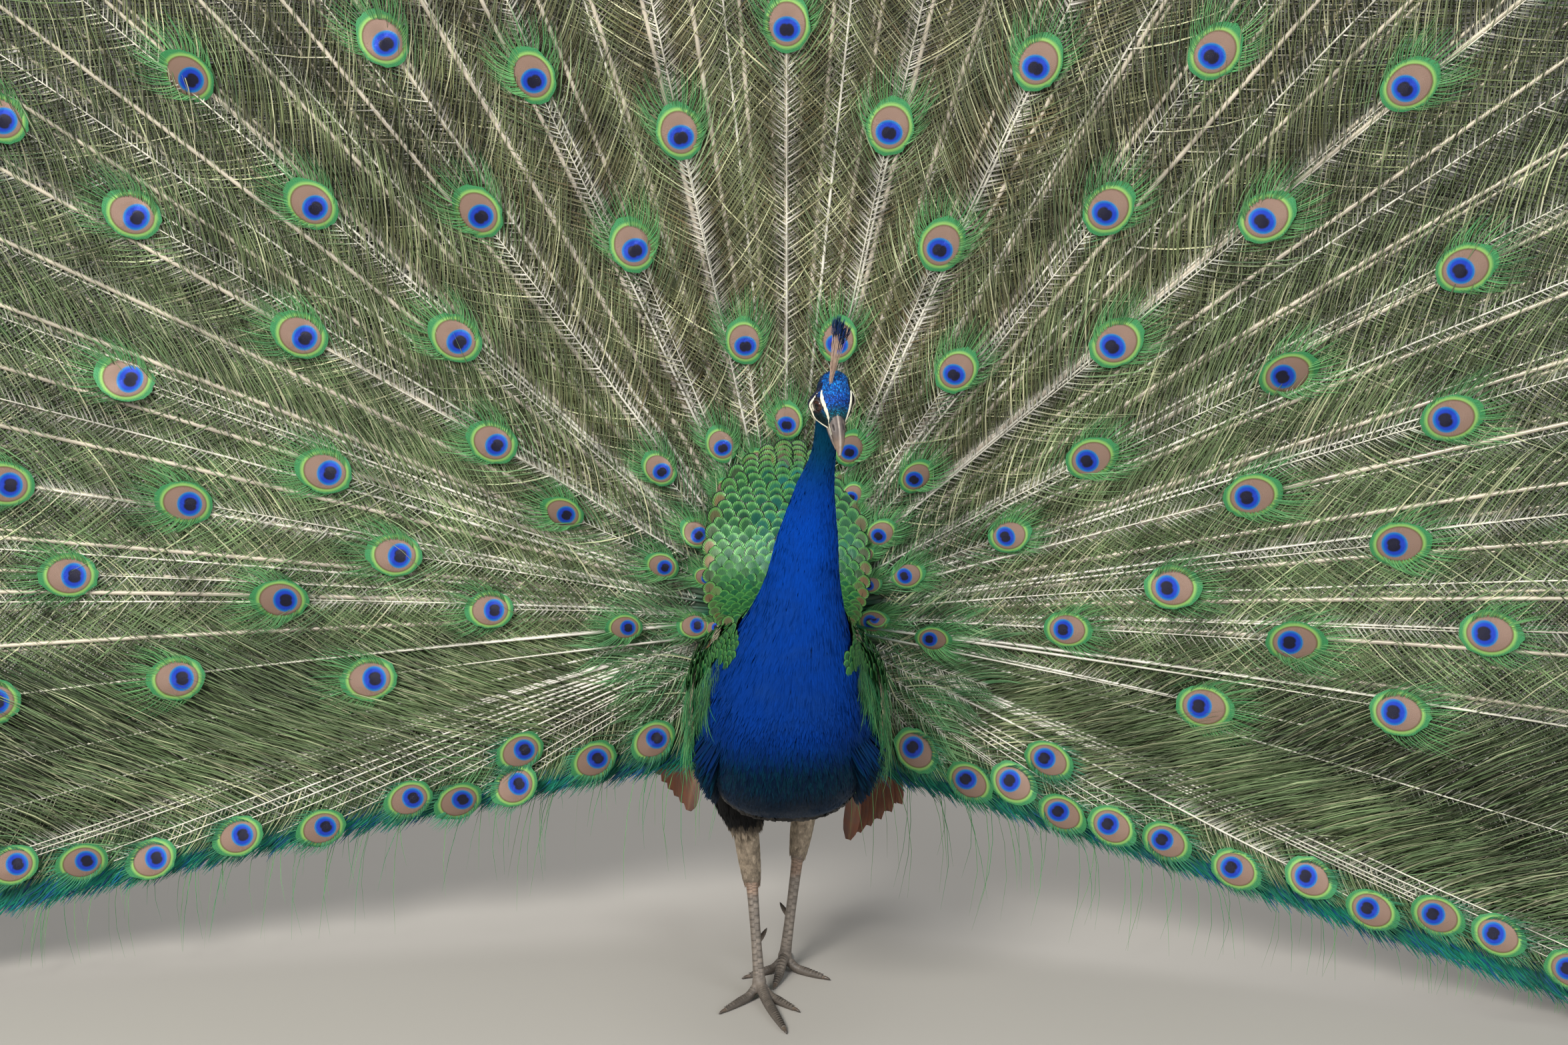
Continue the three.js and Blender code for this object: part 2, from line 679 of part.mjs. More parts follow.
function claw(ankle, tip, radius) {
  const root = new THREE.Vector3(...tip, 0);
  const along = new THREE.Vector3(tip[0] - ankle.x, tip[1] - ankle.y, 0).normalize();
  const thick = radius * TOE_TIP_SHARE * 0.75;
  const heights = [thick, thick + 0.5, 0.8];
  const points = [-0.1, 0.45, 1].map((share, i) =>
    root.clone().addScaledVector(along, CLAW_LENGTH * share).setZ(heights[i]),
  );
  return { points, radii: [thick, thick * 0.8, 0.5], sides: 6 };
}

function box(width, depth, height) {
  return withoutSlivers(mergeVertices(bare(new THREE.BoxGeometry(width, depth, height)), 1e-4));
}

// The three lengths of a leg above the foot, each as a limb.
function legLengths({ knee, shankTop, hock, ankle }) {
  const between = (a, b, share) => a.clone().lerp(b, share);
  const { hock: hockRadius, middle, ankle: ankleRadius } = TARSUS_RADIUS;
  const { top, bottom } = SHANK_RADIUS;
  return {
    thigh: {
      points: [knee, between(knee, shankTop, 0.5), shankTop],
      radii: [THIGH_RADIUS.top, lerp(THIGH_RADIUS.top, THIGH_RADIUS.bottom, 0.55), THIGH_RADIUS.bottom],
      sides: 12,
    },
    shank: {
      points: [shankTop, between(shankTop, hock, 0.35), between(shankTop, hock, 0.75), hock],
      radii: [top, SHANK_RADIUS.middle, (SHANK_RADIUS.middle + bottom) / 2, bottom],
      sides: 10,
    },
    tarsus: {
      points: [hock, ...[0.12, 0.5, 0.85, 0.97].map((share) => between(hock, ankle, share))],
      radii: [hockRadius, middle * 1.15, middle, middle * 1.1, ankleRadius],
      sides: 10,
    },
  };
}

// A foot stands on small flats, where its pads are level with the floor.
function foot(leg, ankle, tarsus) {
  const floor = box(600, 600, 40).translate(ankle.x, ankle.y, -20);
  const toes = Object.entries(leg.toes).map(([name, tip]) =>
    toe(ankle, tip, TOE_RADIUS[name], name === 'middle' ? leg.bend : 0),
  );
  const radius = TARSUS_RADIUS.ankle;
  const pad = {
    points: [ankle.clone().setZ(ankle.z + 6), ankle, ankle.clone().setZ(8)],
    radii: [radius * 0.9, radius * 1.12, radius * 0.9],
    sides: 10,
  };
  const whole = cutBy(joined([pad, ...toes].map((part) => limb(part))), [floor, limb(tarsus, GAP)]);
  const claws = Object.entries(leg.toes).map(([name, tip], i) => {
    const form = limb(claw(ankle, tip, TOE_RADIUS[name]));
    return [name, cutBy(form, [floor, limb(toes[i], GAP)])];
  });
  return { whole, claws };
}

function spur(sign, { hock, ankle }, tarsus) {
  const out = new THREE.Vector3(-sign * 0.5, 0.85, 0.25).normalize();
  const root = hock.clone().lerp(ankle, SPUR.share);
  const tip = root.clone().addScaledVector(out, SPUR.length).setZ(root.z + SPUR.rise);
  const form = limb({ points: [root, tip], radii: [SPUR.radius, 0.6] });
  return cutBy(form, [limb(tarsus, GAP)]);
}

function legMeshes(side) {
  const leg = LEGS[side];
  const joints = {};
  for (const joint of ['knee', 'shankTop', 'hock', 'ankle']) {
    joints[joint] = new THREE.Vector3(...leg[joint]);
  }
  const { thigh, shank, tarsus } = legLengths(joints);
  const { whole, claws } = foot(leg, joints.ankle, tarsus);
  const sign = side === 'right' ? -1 : 1;
  const meshes = [
    namedMesh(`thigh_${side}`, cutBy(limb(thigh), [bodyCutter]), COLOURS.thigh, 0.8),
    namedMesh(`shank_${side}`, cutBy(limb(shank), [limb(thigh, GAP)]), COLOURS.shank, 0.8),
    namedMesh(`tarsus_${side}`, cutBy(limb(tarsus), [limb(shank, GAP)]), COLOURS.leg, 0.6),
    namedMesh(`foot_${side}`, whole, COLOURS.leg, 0.6),
    namedMesh(`spur_${side}`, spur(sign, joints, tarsus), COLOURS.claw, 0.4),
  ];
  for (const [name, form] of claws) {
    meshes.push(namedMesh(`claw_${name}_${side}`, form, COLOURS.claw, 0.35));
  }
  return meshes;
}

// ---- Assembly ------------------------------------------------------------------------------

const bird = new THREE.Group();
bird.add(
  ...headMeshes(),
  ...bodyMeshes(),
  ...trainMeshes(),
  ...tailMeshes(),
  ...backMeshes(),
  ...legMeshes('right'),
  ...legMeshes('left'),
);

// The origin is on the floor under the middle of the whole bird.
const extent = new THREE.Box3().setFromObject(bird, true);
const middle = extent.getCenter(new THREE.Vector3());
bird.position.set(-middle.x, -middle.y, -extent.min.z);

export default bird;
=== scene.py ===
"""A male Indian peafowl in full display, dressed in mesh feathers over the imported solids.

Sizes are in millimetres on the bird's own axes (it faces -Y, its left side is +X, +Z is up), the
axes of the solids before they were centred. put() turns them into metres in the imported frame.
"""

import math

import bpy
import numpy as np
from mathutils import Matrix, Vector


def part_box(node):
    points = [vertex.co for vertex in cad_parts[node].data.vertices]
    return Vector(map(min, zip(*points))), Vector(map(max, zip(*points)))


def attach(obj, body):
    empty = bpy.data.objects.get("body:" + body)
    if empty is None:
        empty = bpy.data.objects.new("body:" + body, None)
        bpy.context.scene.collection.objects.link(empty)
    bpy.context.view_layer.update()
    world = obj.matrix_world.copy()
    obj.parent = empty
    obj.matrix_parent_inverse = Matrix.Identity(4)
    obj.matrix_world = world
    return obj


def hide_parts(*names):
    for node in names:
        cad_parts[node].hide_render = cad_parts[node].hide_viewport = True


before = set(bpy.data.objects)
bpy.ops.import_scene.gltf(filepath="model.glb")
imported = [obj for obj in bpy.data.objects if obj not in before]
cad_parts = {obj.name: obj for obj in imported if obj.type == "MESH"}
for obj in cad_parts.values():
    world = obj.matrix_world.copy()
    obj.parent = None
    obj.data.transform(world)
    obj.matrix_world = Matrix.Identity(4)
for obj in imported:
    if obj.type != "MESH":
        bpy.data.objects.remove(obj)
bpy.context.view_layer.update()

rng = np.random.default_rng(7)
TAU = 2 * math.pi
MM = 0.001


def unit(vectors):
    """The same directions with a length of one."""
    vectors = np.asarray(vectors, float)
    return vectors / np.maximum(np.linalg.norm(vectors, axis=-1, keepdims=True), 1e-9)


def lerp(a, b, share):
    """Between two numbers, or arrays of them, item by item."""
    return np.asarray(a, float) + (np.asarray(b, float) - np.asarray(a, float)) * np.asarray(share, float)


def mix(a, b, share):
    """Between two colours or points: share is one number, or one for each of them."""
    share = np.asarray(share, float)
    if share.shape[-1:] != (1,):
        share = share[..., None]
    return lerp(a, b, share)


def step(low, high, value):
    """A smooth rise from 0 at low to 1 at high; high may be the smaller of the two."""
    t = np.clip((np.asarray(value, float) - low) / (high - low), 0, 1)
    return t * t * (3 - 2 * t)


def spline(values, at):
    """The smooth curve through values, read at station numbers, as the solids have it."""
    values = np.asarray(values, float).reshape(len(values), -1)
    padded = np.vstack([2 * values[0] - values[1], values, 2 * values[-1] - values[-2]])
    at = np.clip(np.asarray(at, float), 0, len(values) - 1)
    first = np.minimum(at.astype(int), len(values) - 2)
    t = (at - first)[..., None]
    p0, p1, p2, p3 = (padded[first + k] for k in range(4))
    m1, m2 = (p2 - p0) / 2, (p3 - p1) / 2
    return (
        (2 * t**3 - 3 * t**2 + 1) * p1
        + (t**3 - 2 * t**2 + t) * m1
        + (3 * t**2 - 2 * t**3) * p2
        + (t**3 - t**2) * m2
    )


def arrays(*values):
    """The values as number arrays of one shape."""
    return np.broadcast_arrays(*(np.asarray(v, float) for v in values))


def together(*values):
    """Arrays brought to one shape and set side by side on a last axis."""
    return np.stack(np.broadcast_arrays(*values), -1)


def surface(place, u, v, du, dv, outward):
    """Directions along u and along v of a surface, and its normal on the outward side."""
    along = unit(place(u + du, v) - place(u - du, v))
    around = unit(place(u, v + dv) - place(u, v - dv))
    normal = unit(np.cross(along, around))
    return along, around, normal * np.sign(np.sum(normal * outward, -1, keepdims=True))


def uneven(count, spread):
    """Random shades round one, a column of them."""
    return np.exp(rng.normal(0, spread, (count, 1)))


def srgb(red, green, blue):
    """A colour from its 0 to 255 display values, in linear light."""
    c = np.array([red, green, blue], float) / 255
    return np.where(c <= 0.04045, c / 12.92, ((c + 0.055) / 1.055) ** 2.4)


# ---- Driving dimensions, shared with the solids ----------------------------------------------

# Body stations: back [y, z], front [y, z], half width, middle x.
BODY = [
    (-87, 723, -112, 692, 13, 46.5),
    (-73, 655, -108, 643, 13.5, 42),
    (-66, 612, -108, 600, 22, 32.5),
    (-56, 560, -115, 546, 34, 25),
    (-46, 512, -131, 490, 43.5, 19),
    (-30, 468, -160, 430, 61, 11),
    (-4, 436, -186, 364, 82, 3),
    (38, 420, -168, 286, 98, 3),
    (84, 413, -98, 236, 93, 3),
    (124, 414, -6, 222, 87, 3),
    (156, 424, 80, 232, 80, 3),
    (186, 446, 150, 252, 69, 3),
    (222, 430, 214, 246, 78, 3),
    (262, 392, 274, 262, 70, 3),
    (284, 350, 292, 304, 30, 3),
]
TRUNK_SQUARENESS = 0.7
HEAD_CENTRE = np.array([49, -115, 705.0])
HEAD_PITCH, HEAD_YAW = math.radians(52), math.radians(17)
# Head and bill stations: along, half width, top, bottom.
HEAD = [
    (-35, 4, 1, -7),
    (-31, 11.5, 10, -14),
    (-23, 17.5, 16, -18),
    (-11, 21.5, 19, -19.5),
    (2, 22.5, 18.5, -18.5),
    (12, 18.5, 15.5, -16),
    (20, 13, 11.5, -13),
    (26, 8, 7, -8.5),
]
UPPER_BILL = [
    (16, 9.6, 11.5, -3.6),
    (26, 8.9, 9.6, -4),
    (36, 7.8, 7.8, -4.4),
    (46, 6.2, 4.6, -5.2),
    (55, 4, -0.4, -7.4),
    (62, 1.3, -6.6, -11),
]
LOWER_BILL = [
    (16, 9, -4.2, -10.6),
    (30, 7.8, -4.7, -10.4),
    (42, 6, -5.5, -9.8),
    (53, 3, -7.7, -9.6),
]
# The seat of each eye and the root of the crest, as head points.
EYE_SEAT = (3, 3.5, 16)
CREST_ROOT, CREST_LENGTH, CREST_TILT = (-15, 15.5, -1.5), 72, 0.13
CREST_RAKE, CREST_SPREAD = math.radians(50), math.radians(17)
# The fan: q runs over it from -1 on the bird's right to 1 on its left, and the drooping edges begin
# at UPPER_SHARE. Angles are from the vertical. Starts and reaches are measured along a feather.
HUB = np.array([3, 185, 385.0])
UPPER_SHARE, UPPER_ANGLE, LEFT_DROOP = 0.85, math.radians(95), math.radians(3)
EDGE_ANGLE = {-1: math.radians(98.5), 1: math.radians(102.5)}
EDGE_OUT, EDGE_DROP = 10, 138
START_TOP, START_SIDE = 74, 98
REACH_TOP, REACH_SIDE, REACH_EDGE = 1285, 1230, 1060
# How much the fan leans forward, bows forward towards its rim, and is swung about the vertical.
LEAN_TOP, LEAN_SIDE, LEAN_EDGE = 0.06, 0.05, 0.08
BOW, SWING = 0.00009, 0.07
TAIL_REACH, TAIL_BEHIND, TAIL_ANGLE = 430, 22, math.radians(84)
# Saddle: y, z, half width.
SADDLE = [
    (22, 428, 70),
    (62, 431, 82),
    (100, 447, 90),
    (126, 482, 91),
    (140, 524, 80),
    (147, 560, 56),
    (150, 588, 16),
]
# The folded wings: body stations, thickness and clearance, upper and lower turns at three places
# along them, and the ends of the uppermost and lowest flight feather.
WING_FROM, WING_TO, WING_THICK, WING_CLEAR = 6.8, 10.55, 9, 2.4
WING_TURNS = [(70, 98), (50, 120), (60, 112)]
PRIMARY_TIPS = {
    -1: [(142, 230, 186), (104, 206, 136)],
    1: [(126, 232, 150), (62, 200, 104)],
}
# The legs: joints from knee to ankle, how far the middle toe is bent up, and the tips of the toes.
LEGS = {
    -1: dict(
        knee=(-52, -16, 262), top=(-45, -10, 208), hock=(-37, 2, 129), ankle=(-28, -38, 17), bend=0,
        toes=dict(outer=(-66, -80), middle=(0, -127), inner=(11, -76), hind=(-34, -6)),
    ),
    1: dict(
        knee=(40, 52, 262), top=(26, 54, 208), hock=(17, 60, 139), ankle=(1, 31, 17), bend=9,
        toes=dict(outer=(45, 6), middle=(-10, -15), inner=(-40, 9), hind=(7, 66)),
    ),
}
TOE_RADIUS = dict(outer=5, middle=5.8, inner=5, hind=4)
# A toe's radius at its tip over that at its root, how deep the soles are pressed flat, the claws.
TOE_TIP, TOE_SINK, CLAW_LENGTH = 0.62, 1.2, 10
# The spurs: how far down the tarsus, length, rise and radius.
SPUR_SHARE, SPUR_LENGTH, SPUR_RISE, SPUR_RADIUS = 0.62, 24, 8, 4

FORWARD = np.array([
    math.cos(HEAD_PITCH) * math.sin(HEAD_YAW),
    -math.cos(HEAD_PITCH) * math.cos(HEAD_YAW),
    -math.sin(HEAD_PITCH),
])
OUT_LEFT = np.array([math.cos(HEAD_YAW), math.sin(HEAD_YAW), 0])
UPWARD = -np.cross(OUT_LEFT, FORWARD)


def head_point(along, up, out):
    """A point given along the head towards the bill, up, and out to its left."""
    along, up, out = (np.asarray(v, float)[..., None] for v in (along, up, out))
    return HEAD_CENTRE + along * FORWARD + up * UPWARD + out * OUT_LEFT


def head_coordinates(points):
    """The reverse of head_point: along the head, up, and out to its left."""
    local = points - HEAD_CENTRE
    return local @ FORWARD, local @ UPWARD, local @ OUT_LEFT


# The frame is centred on the whole bird, so the right eye tells how far the axes were moved.
eye_low, eye_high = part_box("eye_right")
SHIFT = (np.array(eye_low) + np.array(eye_high)) / 2 / MM - head_point(*EYE_SEAT[:2], -EYE_SEAT[2])


def put(points):
    """Millimetres on the bird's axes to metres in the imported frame."""
    return (np.asarray(points, float) + SHIFT) * MM


# ---- Mesh making -----------------------------------------------------------------------------


def paint(mesh, tint):
    """Give a mesh its colours, one for each point."""
    colours = np.ones((len(mesh.vertices), 4), np.float32)
    colours[:, :3] = np.clip(tint, 0, 1)
    layer = mesh.color_attributes.new("tint", "FLOAT_COLOR", "POINT")
    layer.data.foreach_set("color", colours.ravel())


def make_object(name, points, quads, triangles=(), *, tint=None, maps=None, material=None,
                replaces=()):
    """One mesh object from points in millimetres, with its colours, UV maps, slot and nodes."""
    quads = np.asarray(quads, np.int32).reshape(-1, 4)
    triangles = np.asarray(triangles, np.int32).reshape(-1, 3)
    mesh = bpy.data.meshes.new(name)
    corners = np.concatenate([quads.ravel(), triangles.ravel()])
    starts = np.concatenate([
        np.arange(len(quads)) * 4,
        len(quads) * 4 + np.arange(len(triangles)) * 3,
    ])
    mesh.vertices.add(len(points))
    mesh.vertices.foreach_set("co", put(points).astype(np.float32).ravel())
    mesh.loops.add(len(corners))
    mesh.loops.foreach_set("vertex_index", corners.astype(np.int32))
    mesh.polygons.add(len(starts))
    mesh.polygons.foreach_set("loop_start", starts.astype(np.int32))
    mesh.update(calc_edges=True)
    mesh.polygons.foreach_set("use_smooth", np.full(len(starts), True))
    if tint is not None:
        paint(mesh, tint)
    for map_name, spots in (maps or {}).items():
        layer = mesh.uv_layers.new(name=map_name)
        layer.data.foreach_set("uv", np.asarray(spots, np.float32)[corners].ravel())
    mesh.validate()
    piece = bpy.data.objects.new(name, mesh)
    bpy.context.scene.collection.objects.link(piece)
    if material:
        mesh.materials.append(material)
    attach(piece, "root")
    if replaces:
        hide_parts(*replaces)
    return piece


def grid_faces(rows, columns, closed=False):
    """Quads of one grid of points, row by row."""
    width = columns if closed else columns - 1
    a = (np.arange(rows - 1)[:, None] * columns + np.arange(width)).ravel()
    b = (np.arange(rows - 1)[:, None] * columns + (np.arange(width) + 1) % columns).ravel()
    return np.stack([a, b, b + columns, a + columns], 1)


def paired(low, high, number):
    """Places from low to high with two at each of them, and the side of each of the two."""
    return np.repeat(np.linspace(low, high, number), 2), np.tile([-1.0, 1.0], number)


def many(faces, count, each):
    """The same faces for every copy, where each copy has so many points."""
    return (faces[None] + (np.arange(count) * each)[:, None, None]).reshape(-1, faces.shape[1])


class Coat:
    """Collects tufts that end up in one mesh."""

    def __init__(self):
        self.points, self.quads, self.tints, self.spots, self.vanes = [], [], [], [], []
        self.count = 0

    def add(self, points, quads, tints, spots, vanes):
        """One batch of strips: spots are places on the bake map, vanes tell across and along each one."""
        self.points.append(points.reshape(-1, 3))
        self.quads.append(quads + self.count)
        self.tints.append(tints.reshape(-1, 3))
        self.spots.append(spots.reshape(-1, 2))
        self.vanes.append(vanes.reshape(-1, 2))
        self.count += len(self.points[-1])

    def finish(self, name, slot, material, replaces=()):
        """Make the mesh of all that was added."""
        make_object(
            name,
            np.concatenate(self.points),
            np.concatenate(self.quads),
            tint=np.concatenate(self.tints),
            maps={"OFBake": np.concatenate(self.spots), "vane": np.concatenate(self.vanes)},
            material=material,
            replaces=replaces,
        )


def blade_width(t, peak, foot, span, point=0.0):
    """A blade's width along it: foot wide at first, full at peak, rounded off over span to point."""
    swelling = foot + (1 - foot) * np.sin(np.clip(t / peak, 0, 1) * math.pi / 2)
    ending = np.sqrt(np.clip(1 - ((t - peak) / span) ** 2, 0, 1))
    return np.where(t < peak, swelling, point + (1 - point) * ending)


# The size of one vane or barb on the bake map.
PATCH = 0.003
# Where a vane is widest, as a share of its length.
VANE_PEAK = 0.55


def add_vanes(coat, roots, along, normal, length, width, base, tip, spots, *,
              lift=0.1, rows=4, columns=3, curl=0.0, ridge=0.12, point=0.25, twist=0.0, sway=0.0):
    """Feather vanes as small curved blades: along lies on the skin and normal stands out of it.

    point is the width left at a vane's tip, ridge how far its middle stands proud, lift how far
    the tip rises, curl how far it bends back down and sway how far aside, all as shares.
    """
    count = len(roots)
    t = np.linspace(0, 1, rows)[None, :, None, None]
    c = np.linspace(-1, 1, columns)[None, None, :, None]
    shape = lambda value: np.broadcast_to(np.asarray(value, float).reshape(-1, 1, 1, 1), (count, 1, 1, 1))
    length, width, lift, curl, twist, sway = (shape(v) for v in (length, width, lift, curl, twist, sway))
    along, normal = unit(along), unit(normal)
    across = unit(np.cross(along, normal))[:, None, None]
    along, normal = along[:, None, None], normal[:, None, None]
    profile = blade_width(t, VANE_PEAK, 0.35, 1 - VANE_PEAK, point)
    rise = lift * t - curl * t**2 + ridge * width / length * (1 - c**2) * profile
    back = 0.1 * width / length * c**2 * step(0.5, 1, t)
    lean = across * np.cos(twist) + normal * np.sin(twist)
    points = (
        roots[:, None, None]
        + along * length * (t - back)
        + across * sway * length * t**2
        + lean * width / 2 * profile * c
        + normal * length * rise
    )
    base, tip = (np.broadcast_to(np.asarray(v, float), (count, 3))[:, None, None] for v in (base, tip))
    tints = np.broadcast_to(base + (tip - base) * t**1.3, (count, rows, columns, 3))
    c, t, width, length = (v[..., 0] for v in (c, t, width, length))
    spots = spots[:, None, None] + PATCH / 2 * together(c, 2 * t - 1)
    vanes = together(c * width, t * length)
    coat.add(points, many(grid_faces(rows, columns), count, rows * columns), tints, spots, vanes)


# ---- Materials -------------------------------------------------------------------------------


class Nodes:
    """Short words for building one material."""

    def __init__(self, name, **sockets):
        self.material = bpy.data.materials.new(name)
        self.material.use_nodes = True
        self.tree = self.material.node_tree
        self.shader = self.tree.nodes["Principled BSDF"]
        for key, value in sockets.items():
            self.shader.inputs[key.replace("_", " ")].default_value = value

    def add(self, kind, links=None, **settings):
        """A node with those settings; links gives its inputs sockets or fixed values."""
        node = self.tree.nodes.new(kind)
        for key, value in settings.items():
            setattr(node, key, value)
        for key, value in (links or {}).items():
            self.join(value, node.inputs[key])
        return node

    def join(self, value, socket):
        """Feed a socket from another one, or give it a fixed value."""
        if isinstance(value, bpy.types.NodeSocket):
            self.tree.links.new(value, socket)
        else:
            socket.default_value = value

    def math(self, operation, *values):
        return self.add("ShaderNodeMath", dict(enumerate(values)), operation=operation).outputs[0]

    def vector(self, operation, *values):
        node = self.add("ShaderNodeVectorMath", dict(enumerate(values)), operation=operation)
        return node.outputs["Value" if operation == "LENGTH" else "Vector"]

    def ellipse(self, spot, centre, radii):
        """How far a flat spot lies out from centre, 1 on an ellipse with those radii."""
        moved = self.vector("SUBTRACT", spot, (*centre, 0))
        return self.vector("LENGTH", self.vector("DIVIDE", moved, (*radii, 1)))

    def blend(self, a, b, share, mode="MIX"):
        """From colour a to colour b by share; each is a socket or three numbers."""
        a, b = (v if isinstance(v, bpy.types.NodeSocket) else (*v, 1) for v in (a, b))
        links = {6: a, 7: b, 0: share}
        return self.add("ShaderNodeMix", links, data_type="RGBA", blend_type=mode).outputs[2]

    def ramp(self, value, low, high, start=0.0, end=1.0):
        """A smooth rise from start to end while value goes from low to high."""
        links = {0: value, 1: low, 2: high, 3: start, 4: end}
        return self.add("ShaderNodeMapRange", links, interpolation_type="SMOOTHSTEP").outputs[0]

    def noise(self, scale, detail=2.0, vector=None):
        place = vector or self.add("ShaderNodeTexCoord").outputs["Object"]
        links = {"Scale": scale, "Detail": detail, "Vector": place}
        return self.add("ShaderNodeTexNoise", links).outputs["Fac"]

    def tint(self):
        return self.add("ShaderNodeAttribute", attribute_name="tint").outputs["Color"]

    def uv(self, name):
        return self.add("ShaderNodeUVMap", uv_map=name).outputs[0]

    def colour(self, socket):
        self.join(socket, self.shader.inputs["Base Color"])

    def rough(self, socket):
        self.join(socket, self.shader.inputs["Roughness"])

    def bump(self, height, strength, distance=0.0003):
        node = self.add("ShaderNodeBump", {"Height": height, "Strength": strength, "Distance": distance})
        self.join(node.outputs[0], self.shader.inputs["Normal"])


def feather_material(name, vary, scale, barbs, depth, slant=0.9, rough=(0.35, 0.6), **sockets):
    """Tinted feather with fine slanted barbs; barbs is their spacing in millimetres."""
    m = Nodes(name, **sockets)
    parts = m.add("ShaderNodeSeparateXYZ", {0: m.uv("vane")})
    out = m.math("ABSOLUTE", parts.outputs[0])
    line = m.math("MULTIPLY_ADD", out, -slant, parts.outputs[1])
    wave = m.math("SINE", m.math("MULTIPLY", line, TAU / barbs))
    stripe = m.ramp(wave, -1, 1)
    patch = m.ramp(m.noise(scale), 0.3, 0.7)
    dark = m.blend((1 - vary,) * 3, (1 + vary * 0.6,) * 3, patch)
    lines = m.blend((1 - depth,) * 3, (1, 1, 1), stripe)
    m.colour(m.blend(m.blend(m.tint(), dark, 1.0, "MULTIPLY"), lines, 1.0, "MULTIPLY"))
    m.rough(m.ramp(patch, 0, 1, *rough))
    m.bump(stripe, 0.5)
    return m.material


def plain_material(name, vary, scale, rough, bump, bump_scale, **sockets):
    """Tinted smooth matter with soft mottling and a fine grain."""
    m = Nodes(name, **sockets)
    patch = m.ramp(m.noise(scale, 4), 0.3, 0.7)
    m.colour(m.blend(m.tint(), m.blend((1 - vary,) * 3, (1 + vary,) * 3, patch), 1.0, "MULTIPLY"))
    m.rough(m.ramp(patch, 0, 1, *rough))
    m.bump(m.noise(bump_scale, 4), bump, 0.0004)
    return m.material


# ---- The body's form -------------------------------------------------------------------------


def rounded(value, power):
    """A sine or cosine that makes an oval of a circle: 2 leaves it round, more makes it squarer."""
    return np.sign(value) * np.abs(value) ** (2 / power)


def body_point(station, turn, grow=0.0):
    """A point of the body: turn runs from the back round the left side to the front."""
    station, turn, grow = arrays(station, turn, grow)
    row = spline(BODY, station)
    back, front, half, middle = row[..., 0:2], row[..., 2:4], row[..., 4], row[..., 5]
    rise = (back - front) / 2
    power = 2 + TRUNK_SQUARENESS * step(40, 85, half)
    upward = rounded(np.cos(turn), power) * (1 + grow / np.linalg.norm(rise, axis=-1))
    side = (back + front) / 2 + rise * upward[..., None]
    return together(middle + (half + grow) * rounded(np.sin(turn), power), side[..., 0], side[..., 1])


def body_frame(station, turn, grow=0.0):
    """Point, direction towards the tail, and outward normal."""
    place = lambda s, t: body_point(s, t, grow)
    point = place(station, turn)
    inner = body_point(station, turn, -8.0)
    along, _, normal = surface(place, station, turn, 0.02, 0.02, point - inner)
    return point, along, normal


def body_rows(start, end, down, sideways, jitter=0.35):
    """Staggered root places over the body, spaced down and sideways by millimetres."""
    stations, turns = [], []
    station, row = start, 0
    ring = np.linspace(0, TAU, 721)
    while station < end:
        loop = body_point(station, ring)
        girth = np.linalg.norm(np.diff(loop, axis=0), axis=1)
        count = max(8, int(girth.sum() / sideways(station)))
        shares = (np.arange(count) + 0.5 * (row % 2) + rng.uniform(-jitter, jitter, count)) / count
        length = np.concatenate([[0], np.cumsum(girth)]) / girth.sum()
        turns.append(np.interp(shares % 1, length, ring))
        stations.append(np.full(count, station))
        pace = np.linalg.norm(body_point(station + 0.05, ring) - loop, axis=1).mean() / 0.05
        station += down(station) / pace
        row += 1
    stations, turns = np.concatenate(stations), np.concatenate(turns)
    stations = stations + rng.uniform(-jitter, jitter, len(stations)) * 0.06
    return np.clip(stations, 0.02, 13.98), turns


THROAT = srgb(0, 52, 76)
COBALT = srgb(0, 58, 158)
COBALT_DEEP = srgb(0, 40, 118)
BREAST_LOW = srgb(2, 12, 34)
BREAST_BAR = srgb(0, 44, 52)
BELLY = srgb(7, 7, 10)
RUMP = srgb(18, 62, 44)
FLUFF = srgb(92, 80, 66)
FLANK = srgb(40, 33, 26)


def body_tint(points, station, turn):
    """The markings of the neck, breast, belly, back and rump, for skin and feathers alike."""
    z = points[..., 2]
    belly = step(0.15, 0.75, -np.cos(turn))
    blue = mix(COBALT, COBALT_DEEP, step(600, 390, z))
    tint = mix(THROAT, blue, step(0.5, 2.2, station))
    bars = step(-0.3, 0.3, np.sin(z * TAU / 7 + np.sin(points[..., 0] / 9) * 0.7))
    low = mix(BREAST_LOW, BREAST_BAR, bars * 0.6)
    tint = mix(tint, low, step(376, 322, z))
    tint = mix(tint, BELLY, step(312, 276, z))
    trunk = mix(RUMP, mix(FLANK, BELLY, belly), step(-0.2, 0.5, -np.cos(turn)))
    # The trunk's colour begins further forward under the belly.
    forward = 0.9 * step(0.6, -0.6, np.cos(turn)) * step(330, 250, z)
    tint = mix(tint, trunk, step(6.9, 7.9, station + forward))
    return mix(tint, FLUFF, step(10.6, 11.6, station))


# ---- Skin ------------------------------------------------------------------------------------


def loft(rings):
    """Points, quads and end triangles of a closed body through equal rings."""
    rings = np.asarray(rings, float)
    count, sides = rings.shape[:2]
    points = rings.reshape(-1, 3)
    ends = np.stack([rings[0].mean(0), rings[-1].mean(0)])
    side = np.arange(sides)
    after = (side + 1) % sides
    first, last = count * sides, count * sides + 1
    far = (count - 1) * sides
    caps = [np.stack([after, side, np.full(sides, first)], 1)]
    caps.append(np.stack([far + side, far + after, np.full(sides, last)], 1))
    return np.vstack([points, ends]), grid_faces(count, sides, closed=True), np.vstack(caps)


